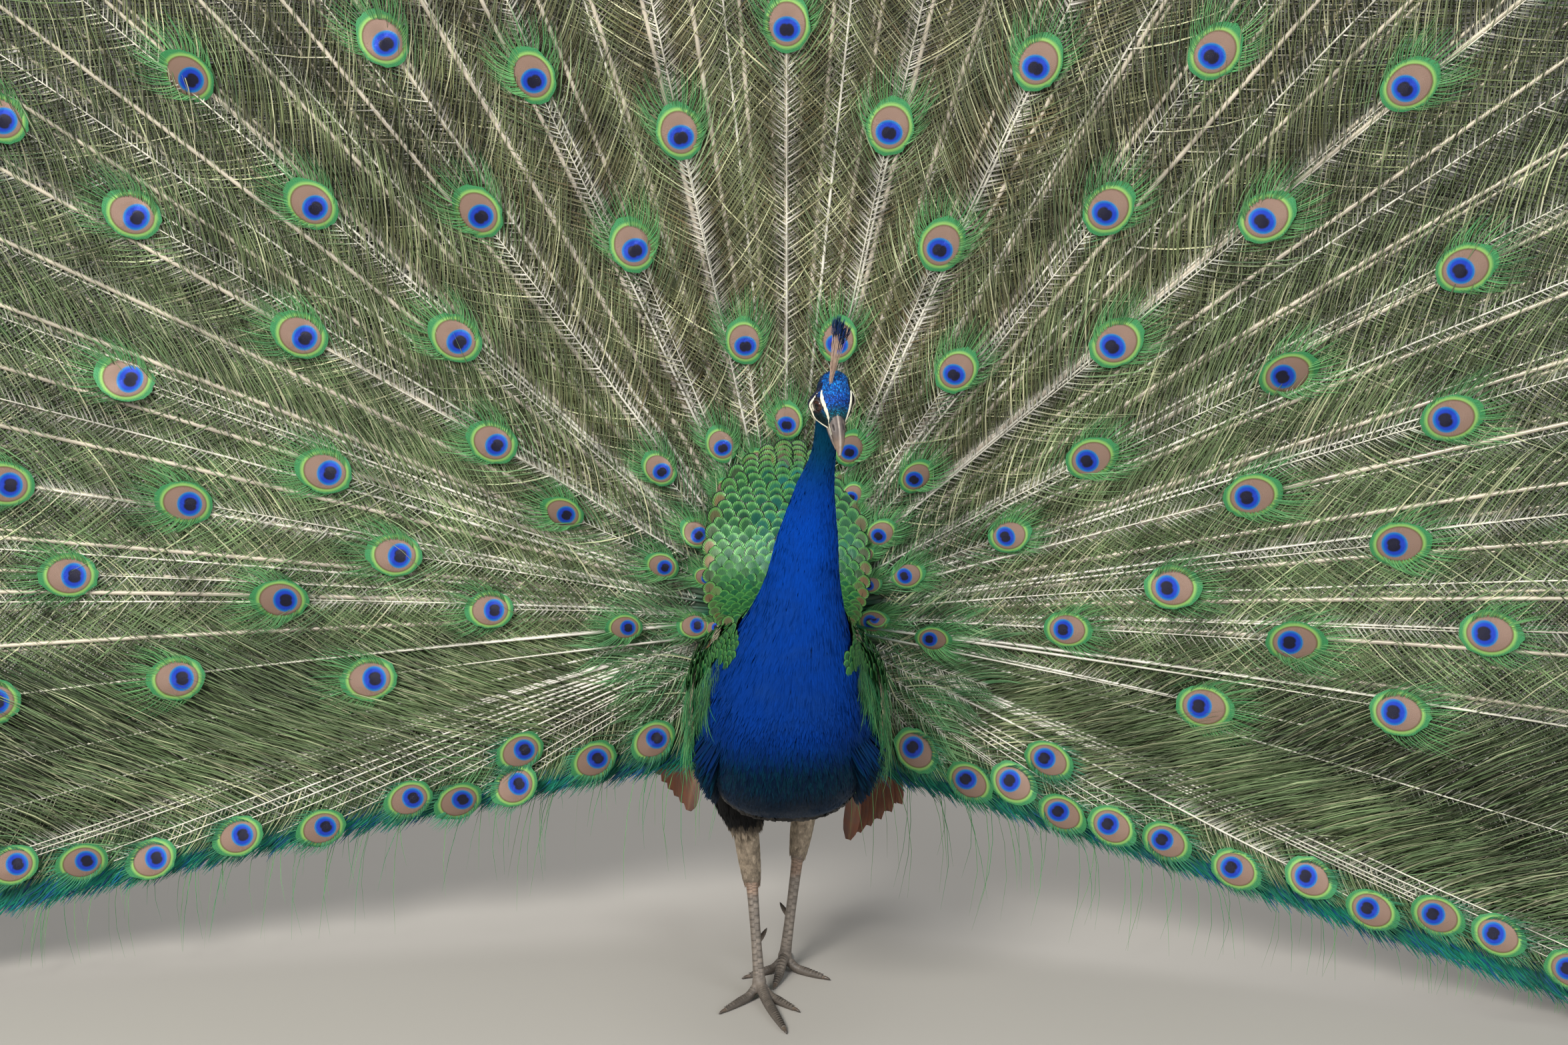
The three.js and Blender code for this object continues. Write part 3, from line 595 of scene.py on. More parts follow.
def tube_rings(points, radii, sides):
    """Rings round a path."""
    points = np.asarray(points, float)
    along = unit(np.gradient(points, axis=0))
    guide = np.where(np.abs(along[:, :1]) < 0.9, [[1.0, 0, 0]], [[0, 1.0, 0]])
    across = unit(np.cross(along, guide))
    other = np.cross(along, across)
    turn = np.arange(sides) / sides * TAU
    radii = np.broadcast_to(np.asarray(radii, float), len(points))[:, None, None]
    return (
        points[:, None]
        + across[:, None] * radii * np.cos(turn)[None, :, None]
        + other[:, None] * radii * np.sin(turn)[None, :, None]
    )


def smooth_path(points, radii, count):
    """A smooth curve through points, with its radii, read at count places."""
    at = np.linspace(0, len(points) - 1, count)
    return spline(points, at), spline(np.asarray(radii, float)[:, None], at)[:, 0]


def section(stations, along):
    """Half width, top and bottom of a head or bill form at along."""
    at = np.interp(along, [row[0] for row in stations], np.arange(len(stations)))
    return np.moveaxis(spline(stations, at)[..., 1:], -1, 0)


def head_rings(stations, count, sides, inset, power=2.0):
    """Rings of a head or bill form, following its stations."""
    at = np.linspace(0, len(stations) - 1, count)
    along, half, top, bottom = spline(stations, at).T
    turn = np.arange(sides) / sides * TAU
    middle, height = (top + bottom) / 2, (top - bottom) / 2 - inset
    up = middle[:, None] + height[:, None] * rounded(np.cos(turn), power)
    out = (half - inset)[:, None] * rounded(np.sin(turn), power)
    shifted = along - inset * np.sign(along)
    return head_point(np.broadcast_to(shifted[:, None], up.shape), up, out)


def leg_parts(side):
    """Paths and radii of one leg, from the knee to the toes."""
    leg = LEGS[side]
    knee, top, hock, ankle = (np.array(leg[k], float) for k in ("knee", "top", "hock", "ankle"))
    parts = [
        ([knee, lerp(knee, top, 0.5), top], [34, 24, 14.5]),
        ([top, lerp(top, hock, 0.35), lerp(top, hock, 0.75), hock], [13, 12.5, 10.5, 8]),
        (
            [lerp(top, hock, 0.93), hock, *(lerp(hock, ankle, s) for s in (0.12, 0.5, 0.85, 1))],
            [8, 8.3, 6.8, 5.9, 6.4, 7.4],
        ),
        ([ankle + (0, 0, 6), ankle, (ankle[0], ankle[1], 8.5)], [6.9, 8.2, 6.8]),
    ]
    return parts, {name: toe_path(ankle, tip, name, leg["bend"]) for name, tip in leg["toes"].items()}


def toe_path(ankle, tip, name, bend):
    """Path and radii of one toe; the middle one may be bent up."""
    radius = TOE_RADIUS[name]
    bend = bend if name == "middle" else 0
    at = lambda share, z: np.array([*lerp(ankle[:2], tip, share), z])
    points = [
        ankle,
        at(0.27, radius * 1.3 + bend),
        at(0.6, radius - TOE_SINK + bend * 0.3),
        at(1, radius * TOE_TIP - TOE_SINK + 0.6),
    ]
    return points, [radius * share for share in (1.1, 1.02, 0.94, TOE_TIP * 0.92)]


def joined_object(name, parts):
    """One raw mesh of several closed bodies."""
    points, quads, triangles = zip(*parts)
    first = np.cumsum([0, *map(len, points[:-1])])
    quads = [faces + start for faces, start in zip(quads, first)]
    triangles = [faces + start for faces, start in zip(triangles, first)]
    return make_object(name, np.concatenate(points), np.concatenate(quads), np.concatenate(triangles))


def applied(piece):
    """The piece with its modifiers made real."""
    shape = piece.evaluated_get(bpy.context.evaluated_depsgraph_get())
    mesh = bpy.data.meshes.new_from_object(shape)
    piece.modifiers.clear()
    old = piece.data
    piece.data = mesh
    bpy.data.meshes.remove(old)
    return piece


def remeshed(piece, voxel, rounds):
    """The piece as one closed skin, smoothed so many times."""
    remesh = piece.modifiers.new("remesh", "REMESH")
    remesh.mode, remesh.voxel_size = "VOXEL", voxel * MM
    remesh.use_smooth_shade = True
    smooth = piece.modifiers.new("smooth", "SMOOTH")
    smooth.factor, smooth.iterations = 0.5, rounds
    return applied(piece)


def coordinates(mesh):
    """The points of a mesh in millimetres on the bird's axes."""
    points = np.empty(len(mesh.vertices) * 3, np.float32)
    mesh.vertices.foreach_get("co", points)
    return points.reshape(-1, 3).astype(float) / MM - SHIFT


def nearest_station(points):
    """Body station and turn of points near the body, by a search over rings."""
    stations = np.linspace(0, len(BODY) - 1, 141)
    row = spline(BODY, stations)
    middles = together(row[:, 5], (row[:, 0] + row[:, 2]) / 2, (row[:, 1] + row[:, 3]) / 2)
    rise = together(0, row[:, 0] - row[:, 2], row[:, 1] - row[:, 3]) / 2
    flat = unit(np.cross(rise, [1.0, 0, 0]))
    offset = points[:, None] - middles[None]
    distance = np.abs(np.sum(offset * flat[None], -1)) + 0.15 * np.linalg.norm(offset, axis=-1)
    best = distance.argmin(1)
    offset = points - middles[best]
    upward = np.sum(offset * rise[best], -1) / np.sum(rise[best] ** 2, -1)
    sideward = offset[:, 0] / row[best, 4]
    return stations[best], np.arctan2(sideward, upward) % TAU


SCALE_GREY = srgb(114, 105, 96)
SCALE_DARK = srgb(66, 60, 55)
SHANK_BUFF = srgb(174, 158, 138)
THIGH_BLACK = srgb(16, 16, 18)
HOCK_TAN = srgb(146, 118, 98)


def leg_tint(points):
    """The markings of the legs by height, for skin, feathers and scales alike."""
    z = points[..., 2]
    tint = mix(SCALE_GREY, SHANK_BUFF, step(124, 150, z))
    tint = mix(tint, THIGH_BLACK, step(204, 226, z))
    tint = mix(tint, HOCK_TAN, 0.7 * step(16, 4, np.abs(z - 122)))
    return mix(tint, SCALE_DARK, 0.55 * step(22, 6, z))


CROWN = srgb(2, 76, 190)
CROWN_TOP = srgb(6, 106, 220)
CROWN_TEAL = srgb(4, 92, 110)
FACE_WHITE = srgb(226, 222, 200)
LORE = srgb(4, 44, 50)
EYE_RING = srgb(40, 26, 30)
NAPE_EDGE = srgb(14, 20, 58)
NAPE = srgb(0, 54, 98)
NECK_DOWN = np.array([-0.03, 0.2, -0.98])
# Stripes of bare white skin over and under each eye, as head points along, up, out.
STRIPE_UPPER = {
    -1: [(-10, 11.5, 17), (-0.7, 14.3, 14.9), (8.1, 13.2, 12.9), (17.2, 9.5, 10.1), (24.1, 4.5, 8)],
    1: [(-8, 10.5, 20.3), (1, 10.8, 19.6), (9, 9.2, 16.8), (16, 6.4, 13.8), (24, 2, 9.4)],
}
STRIPE_END = [(17, -7.7, 13), (25, -6, 7)]
STRIPE_LOWER = {
    -1: [(-10, 7, 20), (-3.5, 6, 21.4), (1.5, 1, 22.4), (6.6, -1.5, 21), (12, -4.5, 17.6), *STRIPE_END],
    1: [(-10, 3, 22), (-3.5, 0, 22.5), (1.5, -4, 21.5), (7, -6, 18.6), (12, -7, 16), *STRIPE_END],
}
STRIPE_WIDTH = 1.5
# The open eye: the ball's centre, where it looks, its radius, and that of its bare opening.
EYE_PLACE = {-1: (3.5, 4.0, 12.0), 1: (3.5, 2.0, 13.0)}
EYE_LOOK = {-1: (0.35, 0.35, 1.0), 1: (0.35, 0.1, 1.0)}
EYE_BALL, EYE_OPENING = 8.3, 6.8
NAPE_ASIDE = 7.0
# Where the face stands out of the plain form or falls inside it: place, reach, rise.
FACE_SWELLS = [
    ((-3, -4, 23.0), (7, 9, 14.0), 3.4),
    ((-16, 8, 18.0), (11, 11, 14.0), -3.2),
    ((11, -7, 16.0), (9, 7, 10.0), 2.8),
]


def line_distance(points, line):
    """Distance of points from a broken line."""
    line = np.asarray(line, float)
    best = np.full(points.shape[:-1], 1e9)
    for start, end in zip(line[:-1], line[1:]):
        span = end - start
        share = np.clip(((points - start) @ span) / (span @ span), 0, 1)
        best = np.minimum(best, np.linalg.norm(points - start - share[..., None] * span, axis=-1))
    return best


def mirrored(points):
    """Head points with out as a size, and which side they are on."""
    along, up, out = head_coordinates(points)
    return together(along, up, np.abs(out)), np.where(out < 0, -1, 1)


def stripe_distance(points):
    """How far points lie from the edge of the nearest white stripe."""
    local, side = mirrored(points)
    along = local[..., 0]
    # The stripes are widest beside the eye and thin towards both ends.
    upper_width = STRIPE_WIDTH * (0.35 + 0.75 * step(-8, 4, along) * step(24, 12, along))
    lower_width = STRIPE_WIDTH * (0.2 + 0.35 * step(-9, -2, along) * step(18, 8, along))
    found = np.full(side.shape, 1e9)
    for sign in (-1, 1):
        upper = line_distance(local, STRIPE_UPPER[sign]) - upper_width
        lower = line_distance(local, STRIPE_LOWER[sign]) - lower_width
        found = np.where(side == sign, np.minimum(upper, lower), found)
    return found


def eye_offset(points):
    """Head points from the nearer ball's centre, and the direction in which it looks."""
    local, side = mirrored(points)
    right = (side < 0)[..., None]
    look = np.where(right, unit(EYE_LOOK[-1]), unit(EYE_LOOK[1]))
    return local - np.where(right, EYE_PLACE[-1], EYE_PLACE[1]), look


def eye_distance(points):
    """How far points lie from the line in which the nearer eye looks."""
    offset, look = eye_offset(points)
    ahead = np.sum(offset * look, -1)
    return np.where(ahead > 0, np.linalg.norm(offset - ahead[..., None] * look, axis=-1), 1e9)


def head_tint(points):
    """The markings of the head: blue crown, white stripes, dark lores and teal throat."""
    local, _ = mirrored(points)
    along, up, out = np.moveaxis(local, -1, 0)
    crown = mix(CROWN, CROWN_TOP, step(10, -6, along))
    crown = mix(crown, CROWN_TEAL, step(4, 20, along))
    tint = mix(NAPE_EDGE, THROAT, step(0, -8, up))
    tint = mix(tint, LORE, step(2, 8, along))
    tint = mix(tint, NAPE, step(-12, -28, along) * step(12, 2, up))
    tint = mix(tint, crown, step(7, 10.5, up - 0.1 * out + 0.25 * np.maximum(along, 0)))
    tint = mix(tint, EYE_RING, step(9.5, 7.5, eye_distance(points)))
    return mix(tint, FACE_WHITE, step(0.35, -0.25, stripe_distance(points)))


def faced(points, share=1.0):
    """Points of the head's plain form moved to the face's own: full cheeks, and the nape set aside."""
    local, side = mirrored(points)
    bump = lambda place, reach, rise: rise * np.exp(-np.sum(((local - place) / reach) ** 2, -1))
    swell = sum(bump(*row) for row in FACE_SWELLS)
    aside = swell * side + NAPE_ASIDE * step(4, -22, local[..., 0])
    return points + (share * aside)[..., None] * OUT_LEFT


def near_head(points):
    """1 on the head and 0 on the neck."""
    return step(42, 34, np.linalg.norm(points - HEAD_CENTRE, axis=-1))


def pressed_sockets(points):
    """Head skin pushed in behind the front of each eyeball."""
    offset, _ = eye_offset(points)
    far = np.linalg.norm(offset, axis=-1)
    inside = (eye_distance(points) < EYE_OPENING) & (far > EYE_BALL - 1.2) & (far < EYE_BALL + 4)
    inward = offset * (EYE_BALL - 1.2) / np.maximum(far, 1)[:, None] - offset
    _, side = mirrored(points)
    moved = inward[:, :1] * FORWARD + inward[:, 1:2] * UPWARD + (inward[:, 2] * side)[:, None] * OUT_LEFT
    return points + np.where(inside[:, None], moved, 0)


LIMB_PARTS = ("thigh", "shank", "tarsus", "foot")
# The lowest skin and horn of the feet are level with the floor flats of the solids.
SOLE = 0.2


def make_skin():
    """One skin over the body, the head and both legs, with their markings as its colours."""
    turn = np.arange(48) / 48 * TAU
    stations = np.linspace(0.02, 13.9, 150)
    depth = 2 + 3.5 * step(1, 4, stations) + 3 * step(9.5, 11, stations)
    trunk = loft(body_point(stations[:, None], turn[None], -depth[:, None]))
    body = remeshed(joined_object("skin", [trunk]), 3.5, 4)
    skull = remeshed(joined_object("skull_skin", [loft(head_rings(HEAD, 40, 40, 1.2))]), 1.1, 4)
    legs = []
    for side in (-1, 1):
        parts, toes = leg_parts(side)
        for path, radii in [*parts, *toes.values()]:
            legs.append(loft(tube_rings(*smooth_path(path, radii, 18), sides=20)))
    limbs = remeshed(joined_object("leg_skin", legs), 1.2, 3)
    for other in (skull, limbs):
        union = body.modifiers.new("union", "BOOLEAN")
        union.operation, union.solver, union.object = "UNION", "EXACT", other
        applied(body)
        bpy.data.objects.remove(other)
    points = coordinates(body.data)
    by_head = near_head(points)
    points = pressed_sockets(faced(points, by_head))
    station, around = nearest_station(points)
    tint = body_tint(points, station, around)
    tint = mix(tint, leg_tint(points), step(225, 205, points[:, 2]))
    tint = mix(tint, head_tint(points), by_head)
    points[:, 2] = np.maximum(points[:, 2], SOLE)
    body.data.vertices.foreach_set("co", put(points).astype(np.float32).ravel())
    paint(body.data, tint)
    body.data.materials.clear()
    body.data.materials.append(plain_material("skin", 0.12, 160, (0.45, 0.65), 0.35, 500))
    body.data.update()
    limb_nodes = [f"{part}_{side}" for part in LIMB_PARTS for side in ("right", "left")]
    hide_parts("head", "neck_upper", "neck_lower", "breast", "trunk", "undertail", *limb_nodes)


# ---- Body plumage ----------------------------------------------------------------------------


def hidden_by_head(points):
    """Which points of the neck lie inside the head."""
    along, up, out = head_coordinates(points)
    half, top, bottom = section(HEAD, along)
    reach = ((2 * up - top - bottom) / (top - bottom)) ** 2 + (out / half) ** 2
    return (np.abs(along + 4) < 30) & (reach < 0.7)


# Where the wings and the saddle cover the body: stations, and degrees from the middle of the back.
COVERED = [((7.3, 10.3), (62, 104)), ((7.2, 11.2), (-1, 32))]


def covered(station, turn):
    """Which places of the body lie under a wing or the saddle."""
    side = np.degrees(np.minimum(turn, TAU - turn))
    inside = lambda value, span: (value > span[0]) & (value < span[1])
    return np.any([inside(station, stations) & inside(side, turns) for stations, turns in COVERED], axis=0)


# The breast feathers stand off low on both sides: how far, where from the front, and up to where.
BREAST_FLARE, BREAST_SIDE, BREAST_LOOSE_TOP = 0.42, 1.15, 345


def growing(size, more=0.0, first=0, last=1):
    """A size that changes along the body: so much more of it from one station to another."""
    return lambda station: size + more * step(first, last, station)


def body_coat(name, span, down, sideways, length, width, slot, material, keep=None, **shape):
    """A coat of vanes over a length of the body."""
    station, turn = body_rows(*span, down, sideways)
    depth = 2 + 3.0 * step(1, 4, station)
    point, along, normal = body_frame(station, turn, -depth * 0.55)
    kept = ~hidden_by_head(point) & ~covered(station, turn)
    if keep is not None:
        kept &= keep(turn, point)
    station, turn, point, along, normal = (v[kept] for v in (station, turn, point, along, normal))
    point = faced(point, near_head(point))
    count = len(point)
    across = np.cross(along, normal)
    along = unit(along + across * rng.normal(0, 0.1, (count, 1)))
    tint = body_tint(point, station, turn) * uneven(count, 0.05)
    long = length(station) * rng.uniform(0.85, 1.15, count)
    spots = together(0.02 + 0.96 * (turn / TAU), 0.02 + 0.96 * (station / (len(BODY) - 1)))
    coat = Coat()
    add_vanes(
        coat, point, along, normal, long, width(station), tint * 0.9, tint * 1.08, spots,
        twist=rng.normal(0, 0.25, count), **shape,
    )
    coat.finish(name, slot, material)


def make_body_plumage():
    """Hair-fine blue feathers on the neck and breast, broader dark ones behind and under the trunk."""
    blue = feather_material(
        "blue_vanes", 0.15, 30, 1.3, 0.15, rough=(0.5, 0.7), Specular_IOR_Level=0.3, Sheen_Weight=0.1,
        Sheen_Tint=(0.02, 0.3, 0.9, 1), Specular_Tint=(0.15, 0.5, 1.0, 1),
    )
    hair = dict(columns=2, curl=0.04, ridge=0.0, point=0.12)
    body_coat(
        "plumage_neck", (0.05, 5.6), growing(1.9, 0.9, 1, 5), growing(1.5, 0.6, 1, 5), growing(7, 8, 1, 6),
        growing(1.7, 0.9, 1, 5), "blue_plumage", blue, lift=0.06, **hair,
    )
    body_coat(
        "plumage_breast", (5.45, 7.9), growing(3.1), growing(2.5), growing(16), growing(3.1),
        "blue_plumage", blue, lift=0.05, **hair,
    )
    beside = lambda turn: np.abs(np.abs(turn - math.pi) - BREAST_SIDE) < 0.38
    body_coat(
        "plumage_breast_sides", (6.0, 7.75), growing(3.6), growing(3.2), growing(30), growing(3.4),
        "blue_plumage", blue, lift=BREAST_FLARE,
        keep=lambda turn, point: beside(turn) & (point[..., 2] < BREAST_LOOSE_TOP), **hair,
    )
    fine = dict(curl=0.06, ridge=0.15, point=0.15)
    dark = feather_material("trunk_vanes", 0.35, 40, 1.2, 0.35, Metallic=0.1, Specular_IOR_Level=0.15)
    body_coat(
        "plumage_trunk", (7.75, 10.9), growing(6), growing(6.5), growing(26), growing(11), "trunk_plumage",
        dark, lift=0.1, **fine,
    )
    body_coat(
        "plumage_undertail", (10.6, 13.9), growing(5.5), growing(5), growing(34), growing(6),
        "undertail_plumage", dark, lift=0.22, **fine,
    )


# Feathers of each thigh and shank: how many, their length and their width.
LEG_FEATHERS = [(1000, 24, 5.8), (1150, 12, 4.3)]


def make_leg_plumage():
    """Black thigh feathers that end in ragged points over the buff shank feathers."""
    coat = Coat()
    for side in (-1, 1):
        parts, _ = leg_parts(side)
        for (path, radii), (count, long, wide) in zip(parts, LEG_FEATHERS):
            line, radius = smooth_path(path, radii, 60)
            share = rng.uniform(0, 1, count)
            turn = rng.uniform(0, TAU, count)
            at = share * (len(line) - 1)
            centre = spline(line, at)
            direction = unit(spline(np.gradient(line, axis=0), at))
            across = unit(np.cross(direction, [[0, 1.0, 0]]))
            other = np.cross(direction, across)
            normal = across * np.cos(turn)[:, None] + other * np.sin(turn)[:, None]
            root = centre + normal * (spline(radius[:, None], at) + 0.3)
            tint = leg_tint(root) * uneven(count, 0.15)
            patch = 0.05 + 0.25 * (side > 0) + 0.45 * (path is parts[1][0])
            add_vanes(
                coat, root, direction, normal, long * rng.uniform(0.8, 1.2, count), wide, tint * 0.8, tint,
                together(turn / TAU * 0.9 + 0.05, patch + 0.22 * share), curl=0.05, point=0.1, ridge=0.15,
            )
    material = feather_material("leg_vanes", 0.3, 120, 1.0, 0.3, rough=(0.6, 0.8), Specular_IOR_Level=0.2)
    coat.finish("plumage_legs", "thigh_plumage", material)


# ---- Head ------------------------------------------------------------------------------------


def head_surface(along, turn, grow=0.0):
    """Point, direction to the bill and outward normal of the head, turned from its top to its left."""
    def place(a, b):
        half, top, bottom = section(HEAD, a)
        up = (top + bottom) / 2 + ((top - bottom) / 2 + grow) * np.cos(b)
        return head_point(a, up, (half + grow) * np.sin(b))

    point = place(along, turn)
    forward, _, normal = surface(place, along, turn, 0.2, 0.02, point - HEAD_CENTRE)
    return point, forward, normal


def make_face_stripes():
    """Low ribbons of bare white skin, laid on the face along the stripes."""
    points, rows, columns = [], 60, 7
    across = np.linspace(-1, 1, columns)
    t = np.linspace(0, 1, rows)
    for sign in (-1, 1):
        for line, widest in ((STRIPE_UPPER[sign], 1.25), (STRIPE_LOWER[sign], 1.05)):
            local = spline(line, t * (len(line) - 1))
            along, up, out = local.T
            half, top, bottom = section(HEAD, along)
            turn = np.arctan2(out / half, (up - (top + bottom) / 2) / ((top - bottom) / 2)) * sign
            centre, _, normal = head_surface(along, turn, 0.1)
            centre = faced(centre)
            forward = unit(np.gradient(centre, axis=0))
            aside = unit(np.cross(forward, normal))
            wide = STRIPE_WIDTH * widest * (0.25 + 0.75 * np.sin(np.pi * t**0.8) ** 0.8)
            wide = wide * (1 + 0.10 * np.sin(t * 31) + 0.06 * np.sin(t * 53))
            dome = 0.55 * (1 - across**2)[None, :, None] - 0.5 * (across**8)[None, :, None]
            over = aside[:, None] * (wide[:, None] * across)[..., None]
            points.append(centre[:, None] + over + normal[:, None] * dome)
    faces = many(grid_faces(rows, columns), len(points), rows * columns)
    points = np.concatenate(points).reshape(-1, 3)
    make_object(
        "face_stripes", points, faces, tint=np.broadcast_to(FACE_WHITE, points.shape),
        material=plain_material("bare_white_skin", 0.12, 500, (0.5, 0.7), 0.6, 900),
    )


HEAD_FEATHERS, LORE_FEATHERS, CROWN_LOW = 9500, 1500, 8.5


def make_head_plumage():
    """Tiny flat scale feathers on the crown, face and nape, with the bare white stripes left open."""
    along = rng.uniform(-34.8, 24, HEAD_FEATHERS)
    turn = rng.uniform(0, TAU, HEAD_FEATHERS)
    point, forward, normal = head_surface(along, turn, -0.9)
    point = faced(point)
    stripe, eye = stripe_distance(point), eye_distance(point)
    kept = (eye > EYE_OPENING) & (stripe > -0.2)
    point, forward, normal, along, turn = (v[kept] for v in (point, forward, normal, along, turn))
    count = len(point)
    local, _ = mirrored(point)
    crown = local[:, 1] > CROWN_LOW
    tint = head_tint(point) * uneven(count, 0.22)
    # A third of the crown's scales carry a painted glint, and the others are painted darker as painted
    # shade.
    glint = (rng.uniform(0, 1, count) < 0.32) & crown
    tint = np.where(glint[:, None], tint * 2.0 + (0.0, 0.03, 0.05), tint)
    tint = np.where((crown & ~glint)[:, None], tint * 0.42, tint)
    # The scales grow towards the nape, where they turn to hang down over the neck's own feathers.
    behind = step(5, -25, along)
    turned = step(-6, -24, along + 8 * np.cos(turn))
    size = lerp(np.where(crown, lerp(1.9, 3.2, behind), 2.6), 5.5, turned) + 3 * step(-31, -34, along)
    wide = lerp(np.where(crown, lerp(1.25, 1.9, behind), 1.0), 1.9, turned)
    down = unit(NECK_DOWN - normal * (normal @ NECK_DOWN)[:, None])
    lie = unit(mix(-forward, down, turned))
    spots = together(0.05 + 0.9 * turn / TAU, 0.05 + 0.9 * (along + 35) / 61)
    coat = Coat()
    add_vanes(
        coat, point, lie, normal, size, wide, tint * 0.8, tint,
        spots, lift=0.14, rows=3, curl=0.04, point=0.4, ridge=0.2, twist=rng.normal(0, 0.25, count),
    )
    material = feather_material(
        "head_vanes", 0.3, 300, 0.5, 0.2, rough=(0.3, 0.5), Metallic=0.4, Specular_IOR_Level=0.5
    )
    coat.finish("plumage_head", "blue_plumage", material)


HORN = srgb(72, 62, 60)
HORN_RIDGE = srgb(178, 166, 156)
# The colour of the painted shade inside the nostrils.
NOSTRIL_SHADE = srgb(52, 44, 42)
HORN_TIP = srgb(138, 118, 102)
GAPE = srgb(214, 190, 150)
NOSTRIL = (31, 6.6, 5.7)
# The drawn bill's length beyond the feathers, over that of the solid.
BILL_REACH = 0.86
BILL_SQUARENESS = 2.2
# The white stripe runs out along the side of the bill's base.
BILL_LINE = [(23, 4.8, 8.6), (29, 3.0, 8.3), (36, 1.6, 7.2)]


def make_bill():
    """Both halves of the bill, dark horn with a pale ridge, nostrils and a pale gape."""
    material = plain_material("horn", 0.14, 220, (0.42, 0.6), 0.25, 700)
    for name, stations in (("bill_upper", UPPER_BILL), ("bill_lower", LOWER_BILL)):
        stations = [(min(row[0], 26) + max(row[0] - 26, 0) * BILL_REACH, *row[1:]) for row in stations]
        rings = head_rings(stations, 46, 44, 0.1, BILL_SQUARENESS)
        points, quads, caps = loft(rings)
        along, up, out = head_coordinates(points)
        tint = mix(HORN, HORN_TIP, step(34, 54, along))
        streaks = 0.5 + 0.5 * np.sin(np.arctan2(out, up + 4) * 16)
        tint = mix(tint, HORN_RIDGE, 0.2 * streaks * step(48, 30, along))
        tint = mix(tint, HORN_RIDGE, 0.9 * step(1.5, 0.4, np.abs(out)) * (name == "bill_upper"))
        if name == "bill_upper":
            feathered = step(34, 22, along + 1.6 * up) * step(4.5, 6.5, np.abs(out))
            local = together(along, up, np.abs(out))
            slit = (local - NOSTRIL) / (4.4, 2.0, 1.2)
            hole = step(1.0, 0.6, np.linalg.norm(slit, axis=-1))
            points = points - hole[:, None] * 1.3 * unit(points - head_point(along, 0.0, 0.0))
            # The nostril slit is painted near black, a painted shade in its hollow.
            tint = mix(tint, NOSTRIL_SHADE * 0.4, hole)
            tint = mix(tint, LORE, feathered)
            tint = mix(tint, FACE_WHITE, step(1.1, 0.5, line_distance(local, BILL_LINE)))
            tint = mix(tint, GAPE, 0.75 * step(-1.4, -3.6, up) * step(44, 20, along))
            ridge = step(2.2, 0.0, np.abs(out)) * step(0, 4, up + 0.12 * (along - 20))
            points = points + 0.45 * ridge[:, None] * UPWARD
        else:
            tint = mix(tint, LORE, step(24, 18, along))
            tint = mix(tint, GAPE, 0.75 * step(-6.4, -4.9, up) * step(44, 20, along))
        make_object(
            f"{name}_horn", points, quads, caps, tint=tint, material=material,
            replaces=[name],
        )


def make_bill_feathers():
    """Short dark feathers that frame the bill's base and leave a peak of horn on the forehead."""
    along = rng.uniform(14, 33, LORE_FEATHERS)
    turn = rng.uniform(-2.3, 2.3, LORE_FEATHERS)
    half, top, bottom = section(UPPER_BILL, along)
    up = (top + bottom) / 2 + ((top - bottom) / 2 + 0.2) * rounded(np.cos(turn), BILL_SQUARENESS)
    out = (half + 0.2) * rounded(np.sin(turn), BILL_SQUARENESS)
    kept = along < 16.5 + 1.15 * np.abs(out) + 0.9 * np.maximum(3 - up, 0)
    kept &= line_distance(together(along, up, np.abs(out)), BILL_LINE) > 0.9
    along, up, out, turn = (v[kept] for v in (along, up, out, turn))
    point = head_point(along, up, out)
    normal = unit(up[:, None] * UPWARD + out[:, None] * OUT_LEFT)
    aim = unit(0.8 * FORWARD + 0.25 * np.sign(out)[:, None] * OUT_LEFT - 0.2 * UPWARD)
    tint = mix(LORE, CROWN_TEAL, 0.6 * step(5, 9, up) * rng.uniform(0, 1, len(up)))
    coat = Coat()
    add_vanes(
        coat, point, -aim, normal, 2.4, 0.9, tint * 0.7, tint * 1.1,
        together(0.5 + 0.13 * turn, 0.1 + 0.04 * (along - 14)), lift=0.12, rows=3, curl=0.04, point=0.3,
        ridge=0.2, twist=rng.normal(0, 0.2, len(up)),
    )
    coat.finish("plumage_lores", "blue_plumage", feather_material("lore_vanes", 0.3, 300, 0.5, 0.2))


IRIS = srgb(56, 28, 18)
IRIS_RIM = srgb(30, 16, 12)
PUPIL = srgb(5, 4, 5)
LID = srgb(58, 48, 50)
LID_DARK = srgb(16, 16, 22)
# The lids' cross-section: out from the line of sight, and ahead of the ball's centre.
LID_PROFILE = [(5.4, 5.9), (5.6, 6.4), (6.0, 6.75), (6.5, 6.7), (7.0, 6.2), (7.8, 4.9)]


